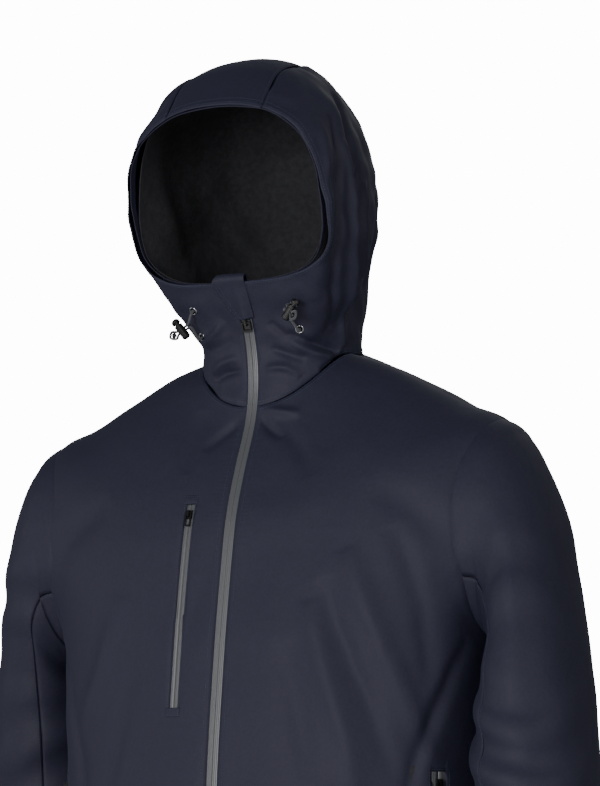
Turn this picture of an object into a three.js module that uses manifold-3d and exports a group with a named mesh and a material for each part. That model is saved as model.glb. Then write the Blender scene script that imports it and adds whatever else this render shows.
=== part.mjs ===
// Foul weather jacket: a hooded sailing shell, zipped shut and standing as it does on the wearer.
// Millimetres. +Z is up, the front faces -Y and the wearer's left is +X. The origin is between the
// shoulders, level with the sides of the neck seam, where the wearer carries the jacket.
import * as THREE from "three";
import { mergeVertices } from "three/addons/utils/BufferGeometryUtils.js";
import Module from "manifold-3d";

const wasm = await Module();
wasm.setup();

// ---------------------------------------------------------------- driving dimensions

const CLEARANCE = 0.3; // between two sewn or fitted pieces
const BODY_DEPTH = 1; // scale of the body from front to back
const BODY_WIDTH = 1; // scale of the body from side to side
const SLEEVE_GIRTH = 1; // scale of the sleeve's section
const HEM_Z = -760;

const SHELL = 2; // outer fabric with its membrane and backing
const LINING = 1.2;
const LINING_DEPTH = 8; // outer face of the lining below the outer face of the shell
const BAG = 1; // pocket bag with both its layers pressed flat
const BAG_GAP = 2; // between the shell and the bag
const BAG_DEPTH = SHELL + BAG_GAP;

const THROAT_RADIUS = 135; // the centre front bends round the throat on one true arc
const THROAT_Y = -200;
const THROAT_Z = -33;
const THROAT_TOP = 35; // degrees above level where the arc ends
const THROAT_BOTTOM = -25;

const SLIT_HALF = 5.8; // half the gap between the two fronts, which the zip fills
const ZIP_GAP = 1.6; // between the two tapes, for the slider's web
const TAPE = 0.7;
const TAPE_WIDTH = 10.5;
const TAPE_DEPTH = SHELL + 1.9; // room for the collar's curve
const COIL_WIDTH = 3;
const COIL_HEIGHT = 1.8;
const ZIP_TOP_Z = 24.5; // the closed slider's place
const TAPE_TOP_Z = 46;
const MAIN_SLIDER = { length: 11, half: 4.6, plate: 1.4, top: 1.1, web: 0.9, pivot: 2.6 };
const MAIN_PULL = { length: 10, half: 5.2, thick: 1.4, arm: 1.5, bar: 1.4 };

const FLAP_HALF = 21; // inner storm flap behind the zip
const FLAP = 1.2;
const FLAP_MARGIN = 1.5; // from the flap to the edge of the lining
const FLAP_DEPTH = 8.4;

const GUARD = 1.4; // chin guard folded over the top of the zip
const GUARD_LIFT = 0.5;
const GUARD_RISE = { height: 3.6, half: 9 }; // where it stands off the zip
const GUARD_BOTTOM_Z = 31;
const GUARD_INSIDE_Z = 40;
const GUARD_TOP_X = -27;
const GUARD_BOTTOM_X = -8;
const GUARD_LEFT_X = 10;
const GUARD_INSIDE_X = -16;
const GUARD_CREST = 1.5; // above the face edge

const CHEST_ZIP = { x: 48, top: -160, bottom: -366, slit: 4.2, tape: 9, gap: 1.2 };
const HAND_ZIP = { x: 209, top: -430, bottom: -606, slit: 4.2, tape: 9, gap: 1.2 };
const POCKET_COIL = 1.2;
const POCKET_SLIDER = { length: 9, half: 3.4, plate: 1.2, top: 0.9, web: 0.7, pivot: 1.2 };
const POCKET_PULL = { length: 14, half: 3.2, thick: 1.2, arm: 1, bar: 1.2 };
const POCKET_START = 11; // from the top of the opening down to the closed slider
const PULL_GAP = 0.4; // between a pull and the slider that it lies on
const BRIDGE = { wide: 2, wall: 0.9, over: 1.7, under: 2.9 }; // holds a pull's bar on its slider
const CHEST_BAG = { from: 10.5, to: 104, top: -156, bottom: -380 }; // X from the zip's line
const HAND_BAG = { from: -110, to: -10.5, top: -424, bottom: -640 };
const GARAGE = { lift: 0.5, thick: 1, half: 8, length: 9 }; // patch over each end of the chest zip

const EYELET = { outer: 4.7, hole: 2.5, flange: 1.0, barrel: 3.2 };
const EYELETS = [{ x: 58, z: 42 }, { x: 56, z: 17 }];
const CORD = 2.6;
const CORD_EASE = 0.4; // around and between the two strands in the lock's slot
const LOCK = {
  radius: 4.4,
  length: 16,
  bore: 2.75,
  slot: CORD + 2 * CORD_EASE,
  slotHeight: 2 * CORD + 3 * CORD_EASE,
  slotRise: 1.5,
};
const PLUNGER = { stem: 2.4, head: 4.6, headHeight: 4, press: 3, floor: 1.6 };
const BEAD = { radius: 2.7, reach: 5 };
const LOCK_PLACE = {
  right: { out: 8, forward: 18, rise: -10 },
  left: { out: 1, forward: 21, rise: 0 },
};
const LOCK_AXIS = [0.62, -0.05, 0.78]; // from the lock's lower end to its plunger's head
const LOCK_WAY = [0.6, -0.45, -0.65]; // from the collar through the lock to the bead

const FACING_DEPTH = 28; // band sewn inside the face edge
const CENTRE_PANEL_HALF = 55;
const CUFF_TAB = { lift: 1.6, thick: 1.4, height: 34, fromEdge: 18 };
const LOOP = { half: 20, splay: 7, width: 7, thick: 1.4, drop: 14, fromNeck: 9, gap: 1.5 };

const COLOUR = {
  shell: 0x262c3a,
  lining: 0x101012,
  tape: 0x4a4b4e,
  plastic: 0x0c0c0d,
  metal: 0x1a1a1c,
  nickel: 0x55565a,
  cord: 0x3a3b3d,
};

// ---------------------------------------------------------------- curves through the sizes

// A smooth curve through (xs, ys) with xs rising or falling; the ends run straight on.
function curve(xs, ys, firstSlope) {
  const n = xs.length;
  const slope = ys.map((_, i) => {
    if (i === 0) return firstSlope ?? (ys[1] - ys[0]) / (xs[1] - xs[0]);
    if (i === n - 1) return (ys[i] - ys[i - 1]) / (xs[i] - xs[i - 1]);
    return (ys[i + 1] - ys[i - 1]) / (xs[i + 1] - xs[i - 1]);
  });
  const down = xs[1] < xs[0];
  return (x) => {
    let i = 0;
    while (i < n - 2 && (down ? x < xs[i + 1] : x > xs[i + 1])) i += 1;
    const h = xs[i + 1] - xs[i];
    const t = (x - xs[i]) / h;
    if (t < 0) return ys[i] + (x - xs[i]) * slope[i];
    if (t > 1) return ys[i + 1] + (x - xs[i + 1]) * slope[i + 1];
    const a = 2 * t ** 3 - 3 * t * t + 1;
    const b = t ** 3 - 2 * t * t + t;
    const c = -2 * t ** 3 + 3 * t * t;
    const d = t ** 3 - t * t;
    return a * ys[i] + b * h * slope[i] + c * ys[i + 1] + d * h * slope[i + 1];
  };
}

const lerp = THREE.MathUtils.lerp;
const rad = THREE.MathUtils.degToRad;
const arcY = (deg) => THROAT_Y + THROAT_RADIUS * Math.cos(rad(deg));
const arcZ = (deg) => THROAT_Z + THROAT_RADIUS * Math.sin(rad(deg));

const bodyFront = curve(
  [arcZ(THROAT_BOTTOM), -130, -173, -214, -312, -447, -600, -760],
  [arcY(THROAT_BOTTOM), ...[-96, -112, -121, -137, -152, -157, -155].map((y) => y * BODY_DEPTH)],
  Math.tan(rad(-THROAT_BOTTOM)),
);

// The centre front's Y at height z: straight, then the throat's arc, then the body.
function frontY(z) {
  if (z > arcZ(THROAT_TOP)) {
    return arcY(THROAT_TOP) - (z - arcZ(THROAT_TOP)) * Math.tan(rad(THROAT_TOP));
  }
  if (z > arcZ(THROAT_BOTTOM)) {
    return THROAT_Y + Math.sqrt(THROAT_RADIUS ** 2 - (z - THROAT_Z) ** 2);
  }
  return bodyFront(z);
}

// ---------------------------------------------------------------- rings

// Each row: front z, side half-width, side Y, side z, back Y, back z, squareness of the front and of
// the back, and how much the ring sags between its sides and its ends.
const TORSO_ROWS = [
  [-58, 82, 0, 0, 80, 22, 2.2, 2.2, 2],
  [-95, 140, 0, -24, 95, 0, 2.3, 2.3, 2],
  [-130, 214, 0, -61, 118, -50, 2.4, 2.4, 2],
  [-160, 244, 0, -82, 135, -100, 2.5, 2.5, 2],
  [-187, 254, 0, -125, 143, -150, 2.6, 2.6, 2],
  [-235, 255, 0, -200, 149, -215, 2.7, 2.7, 2],
  [-312, 236, 0, -300, 150, -300, 2.5, 2.5, 2],
  [-447, 229, 0, -447, 146, -447, 2.3, 2.3, 2],
  [-600, 230, 0, -600, 146, -600, 2.3, 2.3, 2],
  [HEM_Z, 234, 0, HEM_Z, 150, HEM_Z, 2.3, 2.3, 2],
].map(([fz, w, sy, sz, by, bz, ...rest], i) =>
  i === 0
    ? [fz, w, sy, sz, by, bz, ...rest]
    : [fz, w * BODY_WIDTH, sy, sz, by * BODY_DEPTH, bz, ...rest],
);

const HOOD_ROWS = [
  [-58, 82, 0, 0, 80, 22, 2.2, 2.2, 2],
  [-35, 81, 2, 30, 92, 60, 2.6, 2.3, 1.6],
  [-10, 84, 8, 64, 98, 120, 3.1, 2.4, 1.2],
  [15, 97, 6, 98, 90, 182, 3.6, 2.4, 1],
  [32, 107, -10, 136, 63, 246, 4.0, 2.3, 1],
  [45, 111, -38, 167, 12, 292, 4.2, 2.2, 1],
  [54, 112, -76, 178, -56, 306, 4.2, 2.2, 1],
  [60, 112, -108, 170, -116, 284, 4.0, 2.3, 1],
  [64, 110, -130, 150, -156, 237, 3.8, 2.4, 1],
];

// A surface through a stack of rings: (turn, row) -> point. Turn 0 is the centre front, a quarter
// turn the wearer's left side, and half a turn the centre back.
function ringSurface(rows) {
  const at = rows[0].map((_, k) => curve(rows.map((_, i) => i), rows.map((row) => row[k])));
  return (turn, v) => {
    const [fz, w, sy, sz, by, bz, front, back, p] = at.map((f) => f(v));
    const s = Math.sin(turn);
    const c = Math.cos(turn);
    const n = c > 0 ? front : back;
    const rho = (Math.abs(s) ** n + Math.abs(c) ** n) ** (-1 / n);
    const reach = Math.abs(rho * c);
    const endY = c > 0 ? frontY(fz) : by;
    const endZ = c > 0 ? fz : bz;
    return new THREE.Vector3(w * rho * s, lerp(sy, endY, reach), lerp(sz, endZ, reach ** p));
  };
}

const torso = ringSurface(TORSO_ROWS);
const hood = ringSurface(HOOD_ROWS);
const TORSO_END = TORSO_ROWS.length - 1;
const HOOD_END = HOOD_ROWS.length - 1;

// Each row: outer X, z, inner X, z, half depth, share of the arm's swing. The first lies in the body.
const SLEEVE_ROWS = [
  [185, -100, 178, -280, 76, 0],
  [246, -85, 234, -296, 86, 0],
  [268, -96, 240, -303, 88, 0],
  [285, -120, 244, -310, 88, 0.05],
  [302, -158, 246, -320, 87, 0.15],
  [317, -212, 243, -336, 86, 0.35],
  [332, -278, 241, -356, 85, 0.6],
  [345, -345, 238, -390, 83, 0.8],
  [355, -415, 238, -442, 80, 1],
  [362, -485, 243, -505, 75, 1.15],
  [367, -555, 250, -573, 68, 1.25],
  [370, -622, 262, -641, 60, 1.3],
  [371, -690, 274, -708, 52, 1.35],
];
const SLEEVE_END = SLEEVE_ROWS.length - 1;
const SLEEVE_SQUARE = 2.15;
const SLEEVE_Y = 8;
const SLEEVE_OUT = 240 * (BODY_WIDTH - 1); // a wider body carries its sleeves further out
const SWING = { right: 40, left: -45 }; // the right arm hangs back and the left arm forward
const sleeveAt = SLEEVE_ROWS[0].map((_, k) =>
  curve(SLEEVE_ROWS.map((_, i) => i), SLEEVE_ROWS.map((row) => row[k])),
);

// A sleeve, drawn on the wearer's left: (turn, row) -> point. Turn 0 is the outer side, a quarter
// turn the front.
function sleeveSurface(swing) {
  return (turn, v) => {
    const [ox, oz, ix, iz, depth, share] = sleeveAt.map((f) => f(v));
    const s = Math.sin(turn);
    const c = Math.cos(turn);
    const n = SLEEVE_SQUARE;
    const rho = (Math.abs(s) ** n + Math.abs(c) ** n) ** (-1 / n);
    const across = 0.5 * (1 + rho * c);
    const y = (SLEEVE_Y - depth * SLEEVE_GIRTH * rho * s) * BODY_DEPTH + swing * share;
    return new THREE.Vector3(lerp(ix, ox, across) + SLEEVE_OUT, y, lerp(iz, oz, across));
  };
}
const SLEEVES = { right: sleeveSurface(SWING.right), left: sleeveSurface(SWING.left) };

// ---------------------------------------------------------------- slabs on surfaces

// The unit normal of a surface, pointing to its left of the first direction seen along the second.
function normalOf(surface, a, b) {
  const e = 1e-3;
  const du = surface(a + e, b).sub(surface(a - e, b));
  const dv = surface(a, b + e).sub(surface(a, b - e));
  return du.cross(dv).normalize();
}

// Turns a geometry's faces outwards, keeps positions only and merges shared corners.
function closed(geometry) {
  const g = geometry.index ? geometry.toNonIndexed() : geometry;
  for (const name of Object.keys(g.attributes)) {
    if (name !== "position") g.deleteAttribute(name);
  }
  const merged = mergeVertices(g, 1e-4);
  const p = merged.attributes.position;
  const index = merged.index.array;
  const corners = [0, 1, 2].map(() => new THREE.Vector3());
  let volume = 0;
  for (let i = 0; i < index.length; i += 3) {
    corners.forEach((corner, k) => corner.fromBufferAttribute(p, index[i + k]));
    volume += corners[0].dot(corners[1].clone().cross(corners[2]));
  }
  if (volume < 0) {
    for (let i = 0; i < index.length; i += 3) {
      [index[i + 1], index[i + 2]] = [index[i + 2], index[i + 1]];
    }
  }
  return merged;
}

// Moves every vertex of a geometry by a function of its place.
function remap(geometry, place) {
  const p = geometry.attributes.position;
  for (let i = 0; i < p.count; i += 1) {
    const to = place(p.getX(i), p.getY(i), p.getZ(i));
    p.setXYZ(i, to.x, to.y, to.z);
  }
  return closed(geometry);
}

// A slab of a surface. corner(u, v) gives the surface's two values for u and v from 0 to 1; the slab
// runs from `near` to `far` along the outward normal (side is +1 or -1 to turn the normal out).
function slab(surface, corner, cells, near, far, side = 1) {
  const box = new THREE.BoxGeometry(1, 1, 1, cells[0], cells[1], 1);
  return remap(box, (x, y, z) => {
    const [a, b] = corner(x + 0.5, y + 0.5);
    const lift = lerp(near, far, z + 0.5) * side;
    return surface(a, b).addScaledVector(normalOf(surface, a, b), lift);
  });
}

// A profile of [across, out] points swept along frames, closed at both ends.
function sweep(points, frames) {
  const shape = new THREE.Shape(points.map(([x, y]) => new THREE.Vector2(x, y)));
  const steps = frames.length - 1;
  const bar = new THREE.ExtrudeGeometry(shape, { depth: steps, steps, bevelEnabled: false });
  return remap(bar, (x, y, z) => {
    const f = frames[Math.round(z)];
    return f.at.clone().addScaledVector(f.across, x).addScaledVector(f.out, y);
  });
}

function solid(geometry) {
  const g = closed(geometry.clone());
  return new wasm.Manifold(
    new wasm.Mesh({
      numProp: 3,
      vertProperties: new Float32Array(g.attributes.position.array),
      triVerts: new Uint32Array(g.index.array),
    }),
  );
}

function fromSolid(made) {
  const mesh = made.simplify(0.05).getMesh();
  const g = new THREE.BufferGeometry();
  g.setAttribute("position", new THREE.BufferAttribute(new Float32Array(mesh.vertProperties), 3));
  g.setIndex(new THREE.BufferAttribute(new Uint32Array(mesh.triVerts), 1));
  return g;
}

function cut(geometry, ...tools) {
  return fromSolid(tools.reduce((left, tool) => left.subtract(solid(tool)), solid(geometry)));
}

// The turn at which a ring's X (axis "x") or Y (axis "y") has a value, between two turns.
function turnWhere(surface, v, axis, value, from, to) {
  let a = from;
  let b = to;
  const rising = surface(b, v)[axis] > surface(a, v)[axis];
  for (let i = 0; i < 40; i += 1) {
    const mid = (a + b) / 2;
    if (surface(mid, v)[axis] > value === rising) b = mid;
    else a = mid;
  }
  return (a + b) / 2;
}

const QUARTER = Math.PI / 2;
const HALF = Math.PI;

// The front of the body as a height field: (X, z) -> point, by stepping to the ring that passes there.
function frontAt(x, z) {
  let v = 5;
  let turn = 0.3;
  for (let i = 0; i < 30; i += 1) {
    const p = torso(turn, v);
    const pt = torso(turn + 1e-4, v).sub(p).divideScalar(1e-4);
    const pv = torso(turn, v + 1e-4).sub(p).divideScalar(1e-4);
    const det = pt.x * pv.z - pv.x * pt.z;
    const ex = Math.abs(x) - p.x;
    const ez = z - p.z;
    turn = THREE.MathUtils.clamp(turn + (ex * pv.z - ez * pv.x) / det, 0, QUARTER);
    v = THREE.MathUtils.clamp(v + (pt.x * ez - pt.z * ex) / det, 0, TORSO_END);
  }
  const found = torso(turn, v);
  return new THREE.Vector3(x, found.y, z);
}

// The collar's front in the same way, from the neck seam to the face edge.
function collarAt(x, z) {
  let v = 3;
  for (let i = 0; i < 40; i += 1) {
    const turn = turnWhere(hood, v, "x", Math.abs(x), 0, QUARTER);
    v = THREE.MathUtils.clamp(v + (z - hood(turn, v).z) / 30, 0, HOOD_END);
  }
  const turn = turnWhere(hood, v, "x", Math.abs(x), 0, QUARTER);
  const p = hood(turn, v);
  return new THREE.Vector3(x, p.y, p.z);
}

function frameOn(surface, x, z) {
  const at = surface(x, z);
  const across = surface(x + 0.5, z).sub(surface(x - 0.5, z)).normalize();
  const up = surface(x, z + 0.5).sub(surface(x, z - 0.5)).normalize();
  return { at, across, up, out: across.clone().cross(up).normalize() };
}

// A frame on the centre front at height z.
function centreFrame(z) {
  const up = new THREE.Vector3(0, frontY(z + 0.05) - frontY(z - 0.05), 0.1).normalize();
  const across = new THREE.Vector3(1, 0, 0);
  return { at: new THREE.Vector3(0, frontY(z), z), across, up, out: across.clone().cross(up) };
}

// Heights down the centre front, close together on the throat's arc.
function centreFrames(top, bottom) {
  const heights = [top];
  for (let deg = THROAT_TOP; deg >= THROAT_BOTTOM; deg -= 6) heights.push(arcZ(deg));
  heights.push(-130, -173, -214, -312, -447, -600, bottom);
  return heights.filter((z) => z <= top && z >= bottom).map(centreFrame);
}

// ---------------------------------------------------------------- the assembly

const jacket = new THREE.Group();
jacket.name = "foul_weather_jacket";

function add(name, geometry, colour, roughness = 0.8, metalness = 0) {
  const material = new THREE.MeshStandardMaterial({ color: colour, roughness, metalness });
  const mesh = new THREE.Mesh(geometry, material);
  mesh.name = name;
  jacket.add(mesh);
  return mesh;
}

const mirror = (geometry, sign) =>
  sign > 0 ? geometry : closed(geometry.clone().scale(-1, 1, 1));
const SIDES = [
  { name: "right", sign: -1 },
  { name: "left", sign: 1 },
];

// The layers of the body share one grid, and so do those of a sleeve, so that a layer, the one under
// it and the block that cuts them bend at the same places.
const BODY_CELLS = { front: 7, back: 12, rows: 14 };
const SLEEVE_CELLS = { upper: 10, under: 6, rows: 11 };
const UPPER_TURN = rad(118); // the upper sleeve panel reaches this far to the front and the back
const SLEEVE_START = 0.15;

// The turn of a grid line round the body, counted from the wearer's left edge of the slit.
function bodyTurn(line, row) {
  const slit = turnWhere(torso, row, "x", SLIT_HALF, 0, QUARTER);
  const { front, back } = BODY_CELLS;
  if (line <= front) return lerp(slit, QUARTER, line / front);
  if (line <= front + back) return lerp(QUARTER, 3 * QUARTER, (line - front) / back);
  return lerp(3 * QUARTER, 4 * QUARTER - slit, (line - front - back) / front);
}

function sleeveTurn(line) {
  const { upper, under } = SLEEVE_CELLS;
  if (line <= upper) return lerp(-UPPER_TURN, UPPER_TURN, line / upper);
  return lerp(UPPER_TURN, 4 * QUARTER - UPPER_TURN, (line - upper) / under);
}

// A solid block with the shape of a ring surface, grown by CLEARANCE.
function block(surface, lines, rows, turnOf, rowOf, side) {
  const core = new THREE.CylinderGeometry(1, 1, 1, lines, rows);
  return remap(core, (x, y, z) => {
    const angle = (Math.atan2(x, z) + 4 * QUARTER) % (4 * QUARTER);
    const row = rowOf(0.5 - y);
    const turn = turnOf(Math.round((angle / (4 * QUARTER)) * lines) % lines, row);
    if (Math.hypot(x, z) < 0.5) {
      return surface(0, row).add(surface(HALF, row)).multiplyScalar(0.5);
    }
    return surface(turn, row).addScaledVector(normalOf(surface, turn, row), side * CLEARANCE);
  });
}

const bodyTool = block(
  torso,
  2 * BODY_CELLS.front + BODY_CELLS.back + 1,
  BODY_CELLS.rows,
  bodyTurn,
  (v) => v * TORSO_END,
  -1,
);
const sleeveBlock = (sleeve) =>
  block(
    sleeve,
    SLEEVE_CELLS.upper + SLEEVE_CELLS.under,
    SLEEVE_CELLS.rows,
    sleeveTurn,
    (v) => lerp(SLEEVE_START, SLEEVE_END, v),
    1,
  );
const BLOCKS = { right: sleeveBlock(SLEEVES.right), left: sleeveBlock(SLEEVES.left) };

// One half of the body front, from the slit to the side seam.
function bodyFrontHalf(near, far, edge, seam) {
  return slab(
    torso,
    (u, v) => {
      const row = v * TORSO_END;
      const from = turnWhere(torso, row, "x", edge, 0, QUARTER);
      const to = turnWhere(torso, row, "y", -seam, 0, QUARTER);
      return [lerp(from, to, u), row];
    },
    [BODY_CELLS.front, BODY_CELLS.rows],
    near,
    far,
    -1,
  );
}

function bodyBack(near, far, seam) {
  return slab(
    torso,
    (u, v) => {
      const row = v * TORSO_END;
      const from = turnWhere(torso, row, "y", seam, QUARTER, HALF);
      return [lerp(from, 2 * HALF - from, u), row];
    },
    [BODY_CELLS.back, BODY_CELLS.rows],
    near,
    far,
    -1,
  );
}

// A block through the shell along a pocket zip, so that the opening follows the surface.
function pocketSlot(zip) {
  return slab(
    frontAt,
    (u, v) => [zip.x + lerp(-zip.slit, zip.slit, u), lerp(zip.bottom, zip.top, v)],
    [2, 8],
    -2 * SHELL,
    2 * SHELL,
  );
}

// The room that a pocket's tapes take behind the shell.
function tapeRoom(zip) {
  const half = zip.tape + SHELL + 1;
  return slab(
    frontAt,
    (u, v) => [zip.x + lerp(-half, half, u), lerp(zip.bottom - 6, zip.top + 6, v)],
    [2, 8],
    -LINING_DEPTH,
    -TAPE_DEPTH + SHELL / 2 + CLEARANCE,
  );
}

const sideSeam = CLEARANCE / 2;
for (const { name, sign } of SIDES) {
  const pockets = sign < 0 ? [HAND_ZIP, CHEST_ZIP] : [HAND_ZIP];
  const slots = pockets.flatMap((zip) => [pocketSlot(zip), tapeRoom(zip)]);
  const front = cut(
    bodyFrontHalf(-SHELL, 0, SLIT_HALF, sideSeam),
    BLOCKS[name],
    ...slots,
  );
  add(`front_panel_${name}`, mirror(front, sign), COLOUR.shell);
  const inner = cut(
    bodyFrontHalf(-LINING_DEPTH - LINING, -LINING_DEPTH, FLAP_HALF + FLAP_MARGIN, sideSeam),
    BLOCKS[name],
  );
  add(`body_lining_${name}`, mirror(inner, sign), COLOUR.lining, 0.95);
}
const armholes = [mirror(BLOCKS.right, -1), BLOCKS.left];
add("back_panel", cut(bodyBack(-SHELL, 0, sideSeam), ...armholes), COLOUR.shell);
add(
  "body_lining_back",
  cut(bodyBack(-LINING_DEPTH - LINING, -LINING_DEPTH, sideSeam), ...armholes),
  COLOUR.lining,
  0.95,
);

// ---------------------------------------------------------------- sleeves

// A sleeve panel between two turns.
function sleevePanel(sleeve, from, to, near, far, columns) {
  const seam = CLEARANCE / 2 / (SLEEVE_ROWS[0][4] * SLEEVE_GIRTH);
  return slab(
    sleeve,
    (u, v) => [lerp(from + seam, to - seam, u), lerp(SLEEVE_START, SLEEVE_END, v)],
    [columns, SLEEVE_CELLS.rows],
    near,
    far,
  );
}
for (const { name, sign } of SIDES) {
  const sleeve = SLEEVES[name];
  const { upper: over, under: below } = SLEEVE_CELLS;
  const upper = cut(sleevePanel(sleeve, -UPPER_TURN, UPPER_TURN, -SHELL, 0, over), bodyTool);
  const under = cut(
    sleevePanel(sleeve, UPPER_TURN, 2 * HALF - UPPER_TURN, -SHELL, 0, below),
    bodyTool,
  );
  const deep = -LINING_DEPTH - LINING;
  const inner = cut(
    sleevePanel(sleeve, UPPER_TURN, UPPER_TURN + 2 * HALF, deep, -LINING_DEPTH, over + below),
    bodyTool,
  );
  add(`sleeve_upper_${name}`, mirror(upper, sign), COLOUR.shell);
  add(`sleeve_under_${name}`, mirror(under, sign), COLOUR.shell);
  add(`sleeve_lining_${name}`, mirror(inner, sign), COLOUR.lining, 0.95);
  const tab = slab(
    sleeve,
    (u, v) => {
      const row = lerp(SLEEVE_END - 1, SLEEVE_END, 1 - (CUFF_TAB.fromEdge + CUFF_TAB.height * v) / 70);
      return [lerp(rad(-62), rad(52), u), row];
    },
    [8, 2],
    CUFF_TAB.lift,
    CUFF_TAB.lift + CUFF_TAB.thick,
  );
  add(`cuff_tab_${name}`, mirror(tab, sign), COLOUR.shell);
}

// ---------------------------------------------------------------- hood

const hoodSeamTurn = (row) => turnWhere(hood, row, "x", CENTRE_PANEL_HALF, QUARTER, HALF);
const NECK_GAP = 0.04; // rows left open beside the neck seam
const FACING_GAP = 0.12; // and beside the seam of the facing

// The facing is a band inside the face edge, and the lining runs from it to the neck. The shell has a
// row of cells over the facing, so that all the layers bend at the same places.
const crownLength = hood(HALF, HOOD_END).distanceTo(hood(HALF, HOOD_END - 1));
const facingRow = HOOD_END - FACING_DEPTH / crownLength;
const LINING_CELLS = 11;
function hoodRow(v) {
  const cell = v * (LINING_CELLS + 1);
  return cell <= LINING_CELLS
    ? lerp(NECK_GAP, facingRow, cell / LINING_CELLS)
    : lerp(facingRow, HOOD_END, cell - LINING_CELLS);
}

// One side of the hood with its half of the collar, from the slit to the centre panel.
function hoodSide() {
  const corner = (u, v) => {
    const row = hoodRow(v);
    const from = turnWhere(hood, row, "x", SLIT_HALF, 0, QUARTER);
    return [lerp(from, hoodSeamTurn(row) - CLEARANCE / 2 / 100, u), row];
  };
  return slab(hood, corner, [9, LINING_CELLS + 1], -SHELL, 0);
}

const eyeletFrames = EYELETS.map(({ x, z }) => frameOn(collarAt, x, z));

// A round bar along a frame's outward direction.
function pin(frame, radius, near, far) {
  const bar = new THREE.CylinderGeometry(radius, radius, far - near, 10).rotateX(QUARTER);
  bar.translate(0, 0, (near + far) / 2);
  const basis = new THREE.Matrix4().makeBasis(frame.across, frame.up, frame.out);
  return closed(bar.applyMatrix4(basis.setPosition(frame.at)));
}

for (const { name, sign } of SIDES) {
  const holes = eyeletFrames.map((f) => pin(f, EYELET.barrel + CLEARANCE, -12, 6));
  const side = cut(hoodSide(), ...holes);
  add(`hood_side_${name}`, mirror(side, sign), COLOUR.shell);
}
const centrePanel = slab(
  hood,
  (u, v) => {
    const row = hoodRow(v);
    const from = hoodSeamTurn(row) + CLEARANCE / 2 / 100;
    return [lerp(from, 2 * HALF - from, u), row];
  },
  [5, LINING_CELLS + 1],
  -SHELL,
  0,
);
add("hood_centre_panel", centrePanel, COLOUR.shell);

const roundFrom = (first, last) => (u, v) => {
  const row = lerp(first, last, v);
  const from = turnWhere(hood, row, "x", FLAP_HALF + 4 * FLAP_MARGIN, 0, QUARTER);
  return [lerp(from, 2 * HALF - from, u), row];
};
add(
  "hood_facing",
  slab(hood, roundFrom(facingRow + FACING_GAP, HOOD_END), [22, 1], -LINING_DEPTH - LINING, -LINING_DEPTH),
  COLOUR.shell,
);
const hoodLining = slab(
  hood,
  roundFrom(NECK_GAP, facingRow),
  [22, LINING_CELLS],
  -LINING_DEPTH - LINING,
  -LINING_DEPTH,
);
add("hood_lining", hoodLining, COLOUR.lining, 0.95);

// ---------------------------------------------------------------- main zip

const tapeEdge = ZIP_GAP / 2;
const tapeProfile = [
  [tapeEdge, -TAPE_DEPTH],
  [TAPE_WIDTH, -TAPE_DEPTH],
  [TAPE_WIDTH, -TAPE_DEPTH - TAPE],
  [tapeEdge + COIL_WIDTH, -TAPE_DEPTH - TAPE],
  [tapeEdge + COIL_WIDTH, -TAPE_DEPTH - COIL_HEIGHT],
  [tapeEdge, -TAPE_DEPTH - COIL_HEIGHT],
];
const zipFrames = centreFrames(TAPE_TOP_Z, HEM_Z + 4);
for (const { name, sign } of SIDES) {
  add(`main_zip_tape_${name}`, mirror(sweep(tapeProfile, zipFrames), sign), COLOUR.tape, 0.5);
}

// Puts a geometry whose x, y and z are a frame's across, up and outward directions into its place.
function placed(geometry, frame) {
  const basis = new THREE.Matrix4().makeBasis(frame.across, frame.up, frame.out);
  return closed(geometry.applyMatrix4(basis.setPosition(frame.at)));
}

// A slider: a plate on top of the tapes, a plate under the coils, a web between them and the bridge
// that the pull's bar turns in.
function sliderGeometry(size, pull, coil, frame) {
  const low = -TAPE_DEPTH - coil - CLEARANCE;
  const high = -TAPE_DEPTH + CLEARANCE;
  const outline = [
    [-size.half, low - size.plate],
    [size.half, low - size.plate],
    [size.half, low],
    [size.web / 2, low],
    [size.web / 2, high],
    [size.half, high],
    [size.half, size.top],
    [-size.half, size.top],
    [-size.half, high],
    [-size.web / 2, high],
    [-size.web / 2, low],
    [-size.half, low],
  ].map(([x, y]) => new THREE.Vector2(x, y));
  const body = new THREE.ExtrudeGeometry(new THREE.Shape(outline), {
    depth: size.length,
    bevelEnabled: false,
  });
  body.rotateX(QUARTER).translate(0, size.length / 2, 0);
  const inside = 2 * PULL_GAP + pull.thick;
  const profile = (grow, floor) => {
    const from = size.pivot - BRIDGE.under - grow;
    const to = size.pivot + BRIDGE.over + grow;
    const roof = size.top + inside + grow;
    return [[from, floor], [to, floor], [to, roof], [from, roof]];
  };
  const bar = (points, wide) => {
    const shape = new THREE.Shape(points.map(([x, y]) => new THREE.Vector2(x, y)));
    const g = new THREE.ExtrudeGeometry(shape, { depth: wide, bevelEnabled: false });
    g.translate(0, 0, -wide / 2);
    return remap(g, (x, y, z) => new THREE.Vector3(z, x, y));
  };
  const arch = solid(bar(profile(BRIDGE.wall, size.top - 0.2), BRIDGE.wide))
    .subtract(solid(bar(profile(0, size.top - 1), BRIDGE.wide + 1)))
    .add(solid(body));
  return placed(fromSolid(arch), frame);
}

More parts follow.
